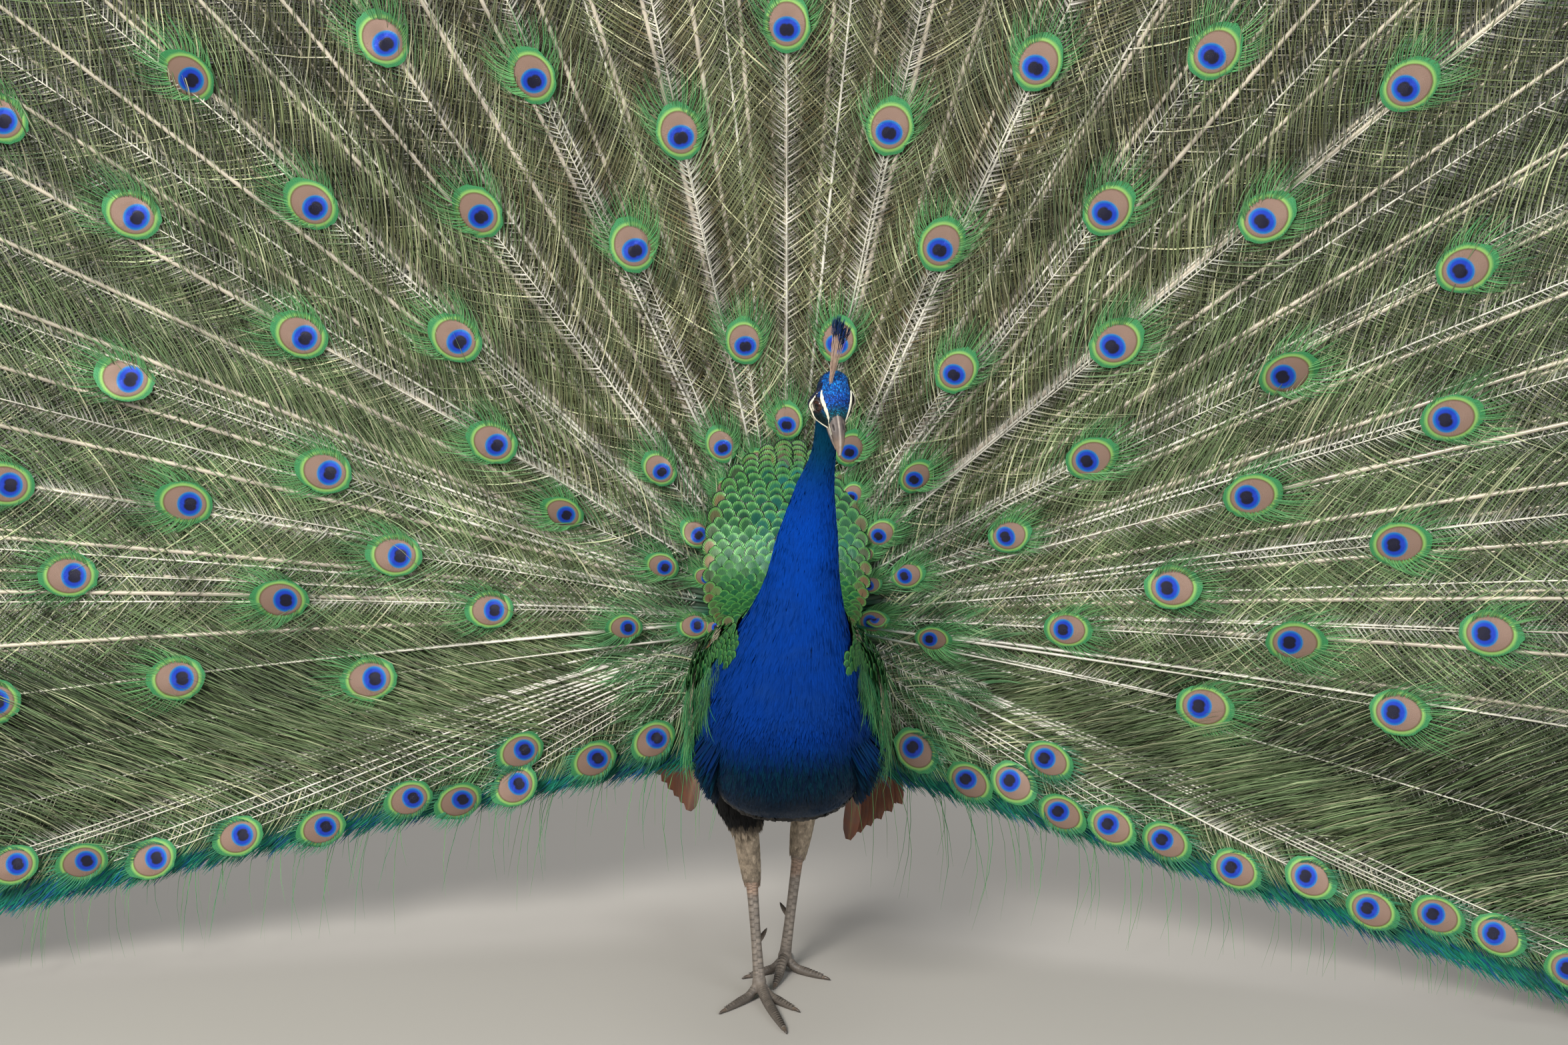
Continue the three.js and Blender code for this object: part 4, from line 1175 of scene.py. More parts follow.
def make_eyes():
    """Two glossy brown eyeballs, each with a ring of bare lids."""
    material = plain_material("eye", 0.1, 900, (0.05, 0.1), 0.0, 100, Coat_Weight=0.4, Coat_Roughness=0.02)
    lid_material = plain_material("eyelid", 0.15, 500, (0.4, 0.6), 0.5, 900)
    rings, sides, lid_rings = 40, 48, 16
    polar = np.linspace(0.02, math.pi - 0.02, rings)
    turn = np.arange(sides) / sides * TAU
    for side, name in ((-1, "eye_right"), (1, "eye_left")):
        place, look = EYE_PLACE[side], EYE_LOOK[side]
        centre = head_point(place[0], place[1], side * place[2])
        axis = unit(look[0] * FORWARD + look[1] * UPWARD + side * look[2] * OUT_LEFT)
        across = unit(np.cross(axis, UPWARD))
        other = np.cross(across, axis)
        round_it = np.cos(turn)[:, None] * across + np.sin(turn)[:, None] * other
        bulge = EYE_BALL * (1 + 0.03 * step(0.75, 0, polar)) - 0.1
        point = centre + bulge[:, None, None] * (
            np.cos(polar)[:, None, None] * axis + np.sin(polar)[:, None, None] * round_it[None]
        )
        points, quads, caps = loft(point)
        angle = np.arccos(np.clip(unit(points - centre) @ axis, -1, 1))
        tint = mix(PUPIL, IRIS, step(0.40, 0.44, angle))
        tint = mix(tint, IRIS_RIM, step(0.62, 0.80, angle))
        make_object(
            f"{name}_ball", points, quads, caps, tint=tint, material=material, replaces=[name]
        )
        # The lids: a low fold all round an opening that narrows to its front and back corners.
        wide, ahead = spline(LID_PROFILE, np.linspace(0, len(LID_PROFILE) - 1, lid_rings)).T
        corner = 1 - 0.10 * np.abs(np.sin(turn)) ** 2 + 0.06 * np.abs(np.cos(turn)) ** 6
        ring = centre + axis * ahead[:, None, None] + (wide[:, None] * corner)[..., None] * round_it[None]
        tone = mix(LID_DARK, LID, np.sin(np.linspace(0, math.pi, lid_rings)))
        make_object(
            f"eyelid_{name[4:]}", ring.reshape(-1, 3), grid_faces(lid_rings, sides, closed=True),
            tint=np.repeat(tone, sides, axis=0), material=lid_material,
        )


CREST_SHAFT = srgb(196, 168, 150)
CREST_FLAG = srgb(12, 52, 150)
CREST_FLAG_EDGE = srgb(8, 70, 96)
CREST_SHAFTS, CREST_BARBS = 24, 17


def make_crest():
    """Bare shafts with a small triangular flag of barbs at each tip."""
    coat = Coat()
    root = head_point(*CREST_ROOT) - UPWARD * 2
    for i in range(CREST_SHAFTS):
        lean = 2 * i / (CREST_SHAFTS - 1) - 1
        angle = CREST_RAKE + lean * CREST_SPREAD + rng.normal(0, 0.02)
        tilt = CREST_TILT + rng.normal(0, 0.035)
        along = unit(math.cos(angle) * UPWARD - math.sin(angle) * FORWARD + tilt * OUT_LEFT)
        across = unit(-math.sin(angle) * UPWARD - math.cos(angle) * FORWARD)
        length = CREST_LENGTH * (1 - 0.1 * lean * lean) * rng.uniform(0.9, 0.99)
        foot = root + across * lean * 2.6 + OUT_LEFT * rng.normal(0, 0.8)
        t = np.linspace(0, 1, 10)[:, None]
        bend = across * rng.normal(0, 1.2) + OUT_LEFT * rng.normal(0, 1.0)
        path = foot + along * length * 0.9 * t + bend * t * (1 - t) * 2
        points, quads, _ = loft(tube_rings(path, lerp(0.42, 0.26, t[:, 0]), 6))
        place = 0.02 + 0.03 * i
        spots = np.broadcast_to([place, 0.1], (len(points), 2))
        coat.add(points, quads, np.broadcast_to(CREST_SHAFT, points.shape), spots, 0 * spots)
        # Flag barbs fan out from the last quarter of the shaft.
        share, sign = paired(0, 1, CREST_BARBS)
        start = foot + along * length * (0.76 + 0.16 * share[:, None])
        slant = lerp(0.75, 0.16, share)[:, None]
        aside = OUT_LEFT * rng.normal(0, 0.12, (len(share), 1))
        aim = unit(along + across * (sign[:, None] * slant) + aside)
        flag = mix(CREST_FLAG_EDGE, CREST_FLAG, rng.uniform(0, 1, len(share)))
        flag = flag * rng.uniform(0.6, 1.3, (len(share), 1))
        add_vanes(
            coat, start, aim, np.cross(aim, across), lerp(7.5, 8.5, share), 1.0, flag * 0.5, flag * 1.2,
            together(place + 0.001 * share, 0.3 + 0.6 * share), lift=0.02, point=0.2, ridge=0.05,
        )
    material = feather_material("crest_vanes", 0.25, 200, 0.5, 0.2, rough=(0.3, 0.5), Metallic=0.3)
    coat.finish("crest_feathers", "crest_plumage", material, ["crest"])


# ---- Fan -------------------------------------------------------------------------------------


def fan_line(q):
    """The line of the feather at q, from -1 on the bird's right to 1 on its left."""
    q = np.atleast_1d(np.asarray(q, float))
    sign = np.where(q < 0, -1.0, 1.0)
    upper = np.minimum(np.abs(q) / UPPER_SHARE, 1)
    edge = np.maximum((np.abs(q) - UPPER_SHARE) / (1 - UPPER_SHARE), 0)
    droop = np.where(q < 0, 0, LEFT_DROOP * upper**2)
    edge_angle = np.where(q < 0, EDGE_ANGLE[-1], EDGE_ANGLE[1])
    angle = lerp(UPPER_ANGLE * upper + droop, edge_angle, edge)
    return dict(
        sign=sign,
        angle=angle,
        reach=lerp(lerp(REACH_TOP, REACH_SIDE, upper), REACH_EDGE, edge),
        lean=LEAN_TOP + LEAN_SIDE * np.sin(angle) ** 2 + LEAN_EDGE * edge,
        start=lerp(START_TOP, START_SIDE, step(0.5, 1.4, angle)),
        x=HUB[0] + sign * EDGE_OUT * edge,
        z=HUB[2] - EDGE_DROP * edge,
        dip=0 * angle,
    )


def fan_place(line, along, out, front):
    """A point of the fan: along one feather's line, out to its clockwise side, and in front."""
    pick = lambda key: line[key].reshape(line[key].shape + (1,) * (np.ndim(along) - line[key].ndim))
    sine, cosine = pick("sign") * np.sin(pick("angle")), np.cos(pick("angle"))
    x = pick("x") + along * sine + out * cosine
    z = pick("z") + along * cosine - out * sine
    away = np.hypot(along, out * 0.7)
    lean = pick("lean") + LEAN_EDGE * np.clip(pick("dip") * along, 0, 1)
    return together(x, HUB[1] - lean * away - BOW * away**2 - SWING * (x - HUB[0]) - front, z)


def low_line(degrees):
    """The lines of the low feathers, that spread straight from the hub down to the drooping edge."""
    degrees = np.atleast_1d(np.asarray(degrees, float))
    sign, angle = np.sign(degrees), np.radians(np.abs(degrees))
    same = lambda value: np.full(degrees.shape, float(value))
    return dict(
        sign=sign,
        angle=angle,
        lean=LEAN_TOP + LEAN_SIDE * np.sin(angle) ** 2,
        start=same(START_SIDE),
        x=same(HUB[0]),
        z=same(HUB[2]),
        dip=np.sin(angle - UPPER_ANGLE - np.where(sign > 0, LEFT_DROOP, 0)) / EDGE_DROP,
    )


def copies(line, number):
    """The same lines once for each of so many barbs."""
    return {key: np.broadcast_to(value, number) for key, value in line.items()}


def edge_clearance(line, along):
    """How far points along a line lie above the drooping edge on their side of the fan."""
    sign = float(line["sign"][0])
    point = fan_place(line, along[None], 0, 0)[0]
    edge = fan_line([sign])
    angle = float(edge["angle"][0])
    x, z = (point[:, 0] - edge["x"]) * sign, point[:, 2] - edge["z"]
    return z * math.sin(angle) - x * math.cos(angle)


def feather_at(degrees, r):
    """The feather whose line comes nearest to a place about the hub: q, how far along, how far aside."""
    table = np.linspace(-1, 1, 4001)
    line = fan_line(table)
    turned = line["sign"] * line["angle"]
    x = HUB[0] + r * math.sin(math.radians(degrees)) - line["x"]
    z = HUB[2] + r * math.cos(math.radians(degrees)) - line["z"]
    along = x * np.sin(turned) + z * np.cos(turned)
    aside = x * np.cos(turned) - z * np.sin(turned)
    best = int(np.argmin(np.abs(aside) + np.where(along > 0, 0, 1e6)))
    return float(table[best]), float(along[best]), float(aside[best])


BARB_BRONZE = srgb(136, 110, 74)
BARB_OLIVE = srgb(142, 146, 98)
BARB_GREEN = srgb(94, 150, 94)
BARB_TEAL = srgb(14, 88, 62)
BARB_GOLD = srgb(228, 224, 184)
BARB_DARK = srgb(60, 54, 40)
QUILL = srgb(246, 242, 232)
QUILL_BROAD = srgb(214, 202, 188)
EMERALD = srgb(22, 150, 92)
EDGE_GREEN = srgb(0, 134, 114)
EDGE_BLUE = srgb(0, 96, 148)
FRINGE_GREEN = srgb(126, 190, 116)
# Loose barbs end this high over the floor.
FLOOR_CLEAR = 6.0
# How much the nodes of a barb crowd towards its white root, and how far the white reaches.
BARB_CROWDING, BARB_WHITE = 2.0, 0.085


def add_barbs(coat, line, along, side, length, width, base, tip, spots, *, lean, front, rise=0.0,
              pale=BARB_WHITE, nodes=6):
    """Thin curved barbs off feather lines.

    side is -1 or 1, lean the angle from the shaft at root and tip, front how far before the fan's
    middle a barb begins, rise how much further its tip lies, and pale how far its root is white.
    """
    count = len(along)
    column = lambda value: np.broadcast_to(np.asarray(value, float).reshape(-1, 1), (count, 1))
    length, width, front, rise = (column(v) for v in (length, width, front, rise))
    first, last = (column(np.radians(v)) for v in lean)
    share = np.linspace(0, 1, nodes)[None] ** BARB_CROWDING
    bearing = first + (last - first) * ((share[:, 1:] + share[:, :-1]) / 2) ** 0.8
    stride = length * np.diff(share)
    ahead = np.concatenate([np.zeros((count, 1)), np.cumsum(np.cos(bearing) * stride, 1)], 1)
    aside = np.concatenate([np.zeros((count, 1)), np.cumsum(np.sin(bearing) * stride, 1)], 1)
    middle = fan_place(line, along[:, None] + ahead, side[:, None] * aside, front + rise * share)
    middle[..., 2] = np.maximum(middle[..., 2], FLOOR_CLEAR)
    taper = width / 2 * np.sqrt(np.clip(1 - share**2.5, 0.03, 1))
    forward = unit(np.gradient(middle, axis=1))
    across = unit(np.cross(forward, [0, 1.0, 0]))
    turn = rng.normal(0, 0.45, (count, 1, 1))
    across = across * np.cos(turn) + np.array([0, 1.0, 0]) * np.sin(turn)
    points = np.stack([middle - across * taper[..., None], middle + across * taper[..., None]], 2)
    base, tip = (np.broadcast_to(v, (count, 3))[:, None] for v in (base, tip))
    tints = base + (tip - base) * step(0.05, 0.9, share)[..., None]
    white = step(pale, pale * 0.3, share)[..., None] if pale else 0
    # The white roots dim with the barb's base colour, so they take on a back layer's painted shade too.
    tints = tints + (QUILL * np.max(base) ** 0.3 - tints) * white * 0.85
    tints = np.repeat(tints[:, :, None], 2, axis=2)
    spots = spots[:, None, None] + PATCH / 2 * together([-1, 1], (2 * share[0] - 1)[:, None])
    vanes = together((width * [-0.5, 0.5])[:, None], (length * share)[..., None])
    coat.add(points, many(grid_faces(nodes, 2), count, 2 * nodes), tints, spots, vanes)


def add_quill(coat, line, end, front, thick, taper, colour, across_map):
    """The pale shaft of one feather, tapering from the rump to its eye."""
    rows, sides = 26, 6
    share = np.linspace(0, 1, rows)
    along = lerp(float(line["start"][0]) * 0.75, end, share)
    centre = fan_place(line, along[None], 0, front)[0]
    thick = thick * lerp(1, taper, share)[:, None]
    turn = np.arange(sides) / sides * TAU
    forward = unit(np.gradient(centre, axis=0))
    across = unit(np.cross(forward, [0, 1.0, 0]))
    deep = np.cross(across, forward)
    points = (
        centre[:, None]
        + across[:, None] * (thick * np.cos(turn))[..., None] / 2
        + deep[:, None] * (thick * np.sin(turn))[..., None] / 2
    )
    tint = mix(colour * 0.9, mix(colour, BARB_GOLD, 0.35), share)
    tint = np.broadcast_to(mix(BARB_TEAL, tint, step(90, 180, along))[:, None], points.shape)
    spots = together(across_map, 0.03 + 0.9 * share[:, None])
    spots = spots + PATCH / 2 * together(np.cos(turn), np.sin(turn))
    coat.add(points, grid_faces(rows, sides, closed=True), tint, spots, 0 * spots)


# Where the eyes of the train lie about the hub: angle from the vertical, negative on the bird's
# right, and distance. The feathers behind the head, then those of each side, then the rim.
MIDDLE_EYES = [(0, 240), (0, 692), (0, 925), (0, 1155)]
RIGHT_EYES = [
    (-92.4, 108), (-91.8, 189), (-66.1, 159), (-45.1, 148), (-38.8, 234), (-19.5, 224), (-96.8, 487),
    (-87.4, 346), (-79.3, 460), (-70.4, 559), (-63.2, 290), (-57.2, 400), (-47.7, 505), (-35.3, 593),
    (-21.1, 477), (-11.6, 585), (-8.1, 337), (-93.9, 702), (-86.5, 585), (-84.7, 819), (-77.2, 701),
    (-67.6, 798), (-57.5, 646), (-55.7, 866), (-54.7, 1032), (-46.6, 721), (-45.3, 907), (-32.8, 804),
    (-23.6, 693),
]
LEFT_EYES = [
    (19.4, 221), (39.9, 232), (45.4, 153), (67, 152), (90.2, 101), (94.5, 170), (9.7, 342), (11, 591),
    (20.9, 481), (32.1, 360), (35.3, 606), (46.7, 502), (58.6, 402), (59.9, 634), (65.9, 279), (71.2, 548),
    (81.7, 442), (89.1, 323), (98.4, 480), (22.4, 706), (34.1, 806), (45.5, 909), (46.4, 712), (58.3, 846),
    (68.8, 771), (78.9, 689), (87.2, 776), (89.1, 573), (94.8, 685),
]
RIM_EYES = [
    (11.5, 818), (11.5, 1045), (22.8, 928), (22.8, 1150), (34.8, 1040), (46, 1110), (57.5, 1040),
    (66.5, 1150), (68.2, 975), (78, 895), (78, 1085), (87, 1000), (94, 905), (94, 1110), (5.5, 1120),
    (17, 1135), (28.5, 1150), (40, 1150), (51.5, 1140), (62, 1110), (72, 1085), (83, 1070),
]
EDGE_EYES = [
    (-132.6, 213), (-126, 280), (-120.8, 371), (-118.1, 435), (-115.7, 346), (-114.3, 483), (-112.7, 585),
    (-109.8, 672), (-108.7, 768), (-106.8, 838), (-105.2, 907), (-104.4, 985), (134.4, 212), (130.2, 279),
    (123.8, 317), (115.9, 337), (123, 380), (119.9, 432), (117.5, 490), (116, 568), (112.8, 640),
    (112.8, 711), (110.6, 772), (109.9, 834), (109.9, 913), (108.6, 985),
]
# Small eyes round the rim of the saddle: angle, how far out they lie, and their size.
SADDLE_EYES = [
    (-10, 192, 0.62), (1, 195, 0.5), (-24.5, 169, 0.6), (26.4, 171, 0.56), (-29.3, 148, 0.42),
    (32.8, 148, 0.36), (-45.8, 121, 0.36), (48.7, 123, 0.38), (-62.3, 108, 0.5), (65.2, 108, 0.46),
    (-95, 85, 0.4), (87, 105, 0.5),
]
EYE_SMALLEST, EYE_LARGEST, EDGE_EYE = 0.68, 1.12, 0.98


def eye_feathers():
    """The eyes as q, how far along and aside of that feather's line each lies, and its size."""
    spots = MIDDLE_EYES + RIGHT_EYES + LEFT_EYES
    spots = spots + [(sign * angle, r) for sign in (-1, 1) for angle, r in RIM_EYES]
    size = lambda r: lerp(EYE_SMALLEST, EYE_LARGEST, float(step(80, 520, r)))
    feathers = [(*feather_at(angle, r), size(r)) for angle, r in spots]
    feathers += [(*feather_at(angle, r), size) for angle, r, size in SADDLE_EYES]
    return feathers


def barb_colour(along, q):
    """Barb colour by place: teal near the rump, bronze between, olive green further out."""
    count = len(along)
    sideward = step(0.2, 0.7, np.abs(q))
    olive = np.maximum(sideward * step(180, 420, along), 0.25 * step(600, 1100, along))
    tint = mix(BARB_TEAL, BARB_BRONZE, step(110, 300, along))
    tint = mix(tint, BARB_OLIVE, olive)
    tint = tint * lerp(0.6, 0.9, sideward)[:, None]
    tint = mix(tint, BARB_GREEN, 0.35 * sideward + rng.uniform(0, 0.2, count))
    dark = rng.uniform(0, 1, count)
    tint = mix(tint, BARB_DARK, 0.75 * step(0.45, 0.9, dark))
    # About a fifth of the barbs turn pale gold: partly their own gold and partly a painted glint.
    return mix(tint, BARB_GOLD, 0.8 * step(0.26, 0.05, dark))


# The length of the fan's feathers that fills the bake map.
FAN_MAP = 1300


class Sector:
    """One part of the fan: the barbs and quills of the feathers between two lines."""

    def __init__(self, low, high):
        self.low, self.high, self.coat = low, high, Coat()

    def spots(self, q, along):
        """Places on the bake map: the sector from low to high, and out to the fan's rim."""
        across = 0.02 + 0.96 * np.clip((q - self.low) / (self.high - self.low), 0, 1)
        return together(across, 0.02 + 0.96 * np.clip(along / FAN_MAP, 0, 1))

    def feather(self, q, end, front, *, size=1.0, spacing=6.0, width=1.3, shade=1.0, start=0.0, nodes=6,
                line=None, thick=1.0, broad=False, raised=0.8):
        """Barbs on both sides of one shaft, out to its eye or its forked tip."""
        if line is None:
            line = fan_line([q])
            # The outer quills stand over the barbs of the edge band.
            raised += 8 * float(step(0.79, 0.83, abs(q))) * (not broad)
        first = max(float(line["start"][0]) + 12, start)
        reach = end - 24 * size
        along, side = paired(first, reach, max(6, int((reach - first) / spacing)))
        number = len(along)
        along = along + rng.normal(0, 0.8, number)
        near_eye = step(110, 10, end - along)
        long = lerp(62, 128, step(80, 480, along)) * rng.uniform(0.85, 1.12, number)
        long = lerp(long, 78 * size, near_eye)
        # Barbs of the outer feathers hang no further than the drooping edge.
        if abs(q) > 0.8:
            room = 16 + np.maximum(edge_clearance(line, along), 0)
            long = np.where(side == np.sign(q), np.minimum(long, room), long)
        tint = barb_colour(along, np.full(number, q)) * shade
        green = mix(BARB_GREEN, EMERALD, 0.5) * shade
        tint = mix(tint, green, 0.75 * near_eye)
        tip = mix(tint * 1.2, mix(BARB_GREEN, BARB_GOLD, 0.25) * shade, 0.4)
        add_barbs(
            self.coat, copies(line, number), along, side, long, width * rng.uniform(0.7, 1.3, number),
            tint * 0.8, tip, self.spots(q, along), lean=(lerp(58, 40, near_eye), lerp(34, 8, near_eye)),
            front=front + rng.normal(0, 1.4, number), rise=rng.normal(0, 2.2, number), nodes=nodes,
        )
        thick = thick * lerp(2.2, 5.0, step(150, 900, end))
        taper, colour = (0.5, QUILL_BROAD) if broad else (0.22, QUILL)
        middle = float(self.spots(q, 0)[..., 0])
        add_quill(self.coat, line, end - 14 * size, front + raised, thick, taper, colour, middle)


# The upper fan is parted in so many nodes.
SECTORS = 9
RIM_FEATHERS, BACK_FEATHERS, FORK_BARBS = 47, 62, 28
# Barbs in each edge band: in the band, above it, and hanging from it.
BAND_BARBS, ABOVE_BARBS, HANGING_BARBS = 5200, 900, 110


def eye_depth(r):
    """How far in front of the fan's middle a feather lies: the shorter ones are further forward."""
    return 9 * step(1100, 100, r) - 2


def edge_q(angle):
    """The place on the fan of a low feather, whose line starts at the hub."""
    return lerp(UPPER_SHARE, 1, float(step(96, 106, angle)))


def make_train(material):
    """Feathers of the fan, sector by sector, the shorter ones in front."""
    feathers = eye_feathers()
    bounds = lerp(-UPPER_SHARE, UPPER_SHARE, np.arange(SECTORS + 1) / SECTORS)
    sectors = [Sector(low, high) for low, high in zip(bounds, bounds[1:])]
    edges = {-1: Sector(-1, -UPPER_SHARE), 1: Sector(UPPER_SHARE, 1)}

    def find(q):
        """The sector that holds the line at q."""
        if abs(q) > UPPER_SHARE:
            return edges[1 if q > 0 else -1]
        return sectors[min(SECTORS - 1, int((q + UPPER_SHARE) / (2 * UPPER_SHARE) * SECTORS))]

    for q, r, _, size in feathers:
        front = float(eye_depth(r)) + rng.normal(0, 0.8)
        find(q).feather(q, r, front, size=size, shade=rng.uniform(0.85, 1.45))
    # Forked feathers without eyes make the rim and fill between the eye feathers.
    near_edge = np.linspace(0.862, 0.985, 12)
    outer = near_edge[::2]
    for q in np.concatenate([np.linspace(-0.845, 0.845, RIM_FEATHERS), outer, -outer]):
        end = float(fan_line([q])["reach"][0]) - 30 + rng.normal(0, 8)
        # The rim feathers lie behind the eye feathers and are painted darker as painted shade; the outer
        # ones over the edge band are not.
        shade = rng.uniform(0.5, 0.95) if abs(q) < UPPER_SHARE else rng.uniform(0.9, 1.3)
        find(q).feather(
            q, end, -2.5 + rng.normal(0, 0.6), spacing=6.6, shade=shade, nodes=5, thick=1.6, broad=True,
            raised=0.3,
        )
        add_fork(find(q), q, end)
    # The low feathers end in the eyes along the drooping edge, with others between them.
    for sign, sector in edges.items():
        eyes = sorted((abs(angle), r) for angle, r in EDGE_EYES if angle * sign > 0)
        angles, ends = (np.array(v) for v in zip(*eyes))
        between = np.concatenate([[98.5, 101.5], ((angles[1:] + angles[:-1]) / 2)[::2]])
        for angle, end in [*zip(angles, ends), *zip(between, np.interp(between, angles, ends) + 20)]:
            sector.feather(
                sign * edge_q(angle), end, 1.5 + rng.normal(0, 0.8), shade=rng.uniform(0.7, 1.2),
                line=low_line(sign * angle), thick=0.8, raised=3.5,
            )
        # Short green feathers cover the shafts where they leave the rump.
        for angle in np.linspace(88, 131, 8):
            sector.feather(
                sign * edge_q(angle), rng.uniform(190, 260), 8 + rng.normal(0, 1), size=0.6, spacing=3.6,
                shade=rng.uniform(0.9, 1.5), line=low_line(sign * angle), thick=0.7,
            )
    # A layer behind them, painted dark as painted shade between the layers, closes the fan where the front
    # feathers lie apart.
    between = near_edge + 0.005
    for q in np.concatenate([np.linspace(-0.84, 0.84, BACK_FEATHERS), between, -between]):
        end = float(fan_line([q])["reach"][0]) - rng.uniform(30, 130)
        find(q).feather(
            q, end, -6 + rng.normal(0, 0.8), spacing=5.2, width=1.9, shade=0.2,
            start=230 if abs(q) < UPPER_SHARE else 0, nodes=4, thick=1.3, broad=True,
        )
    for sign, edge in edges.items():
        add_edge_band(edge, sign)
    for i, sector in enumerate(sectors):
        sector.coat.finish(f"train_feathers_{i + 1}", "train", material, [f"train_{i + 1}"])
    for sign, name in ((-1, "train_edge_right"), (1, "train_edge_left")):
        edges[sign].coat.finish(f"{name}_feathers", "train_edge", material, [name])
    return feathers


def add_fork(sector, q, end):
    """The fish tail of a rim feather: long barbs that spread to both sides of its tip."""
    share, side = paired(0, 1, FORK_BARBS)
    along = end - 62 + 48 * share
    tint = mix(BARB_GREEN, EMERALD, rng.uniform(0, 1, len(share)))
    add_barbs(
        sector.coat, copies(fan_line([q]), len(share)), along, side, lerp(58, 44, share), 1.3, tint * 0.7,
        tint, sector.spots(q, along), lean=(lerp(62, 46, share), lerp(30, 34, share)), front=-1, pale=0,
    )


def add_edge_band(sector, sign):
    """The dense blue-green band along the drooping edge, with loose barbs hanging from it."""
    q = sign * 0.999

    def barbs(side, along, length, width, shade, tint, first, last, front, nodes):
        """Barbs from places along the edge, whose slants and depths are drawn from ranges."""
        number = len(along)
        add_barbs(
            sector.coat, copies(fan_line([q]), number), along, np.full(number, float(side)), length, width,
            tint * shade, tint, sector.spots(q, along),
            lean=(rng.uniform(*first, number), rng.uniform(*last, number)),
            front=rng.uniform(*front, number), pale=0, nodes=nodes,
        )

    number = BAND_BARBS
    along = rng.uniform(60, 1030, number)
    tint = mix(EDGE_GREEN, EMERALD, rng.uniform(0, 0.35, number))
    tint = mix(tint, EDGE_BLUE, rng.uniform(0, 1, number) < 0.25) * rng.uniform(0.6, 1.3, (number, 1))
    long = lerp(28, 54, rng.uniform(0, 1, number))
    barbs(sign, along, long, 1.8, 0.7, tint, (35, 75), (10, 40), (1, 8), 5)
    number = ABOVE_BARBS
    along = rng.uniform(60, 1000, number)
    tint = mix(BARB_GREEN, EDGE_GREEN, rng.uniform(0, 1, number)) * rng.uniform(0.6, 1.2, (number, 1))
    barbs(-sign, along, rng.uniform(30, 90, number), 1.1, 0.7, tint, (25, 50), (15, 40), (-2, 4), 6)
    # The hanging barbs end over the floor.
    number = HANGING_BARBS
    along = rng.uniform(40, 940, number)
    height = fan_place(copies(fan_line([q]), number), along, 0, 0)[:, 2]
    long = np.minimum(rng.uniform(50, 190, number), height - 2 * FLOOR_CLEAR)
    tint = mix(EMERALD, FRINGE_GREEN, rng.uniform(0.2, 1, number))
    barbs(sign, along, long, 0.7, 0.8, tint, (35, 70), (70, 100), (0, 5), 7)


# ---- Eyes of the train -----------------------------------------------------------------------

EYE_RINGS, EYE_SIDES = 7, 32
# The disc's half width and half length, and how far its outer end is drawn out to a point.
EYE_HALF, EYE_POINT = (23.0, 28.0), 3.5
FRINGE_BARBS = 100


def eye_material():
    """A purple heart in a blue ring, in a bronze disc with thin brown, gold and green rings."""
    m = Nodes("train_eyes", Metallic=0.3, Specular_IOR_Level=0.6)
    spot = m.uv("eye")
    parts = m.add("ShaderNodeSeparateXYZ", {0: spot})

    def disc(centre, radii, soft):
        """1 inside an ellipse given in millimetres."""
        return m.ramp(m.ellipse(spot, centre, radii), 1 + soft, 1 - soft)

    turn = m.math("ARCTAN2", parts.outputs[0], parts.outputs[1])
    streak_place = m.add("ShaderNodeCombineXYZ", {0: m.math("MULTIPLY", turn, 18.0), 1: parts.outputs[1]})
    streak = m.ramp(m.noise(2.4, 2, streak_place.outputs[0]), 0.3, 0.7)
    colour = m.blend(srgb(14, 96, 62), srgb(84, 176, 106), streak)
    bronze = m.blend(srgb(134, 108, 92), srgb(164, 136, 122), streak)
    for ring, height, radii, soft in (
        (srgb(146, 196, 104), 0.4, (21.0, 24.2), 0.08),
        (srgb(104, 84, 54), 0.2, (18.6, 21.6), 0.05),
        (bronze, 0, (17.4, 20.4), 0.07),
        (srgb(8, 128, 196), -4.6, (13.2, 12.2), 0.08),
        (srgb(10, 62, 196), -4.4, (11.4, 10.2), 0.16),
    ):
        colour = m.blend(colour, ring, disc((0, height), radii, soft))
    halves = [disc((middle, -5.4), (5.0, 6.2), 0.2) for middle in (-2.2, 2.2)]
    m.colour(m.blend(colour, srgb(10, 8, 44), m.math("MAXIMUM", *halves)))
    m.rough(m.ramp(streak, 0, 1, 0.32, 0.5))
    m.bump(streak, 0.5)
    return m.material


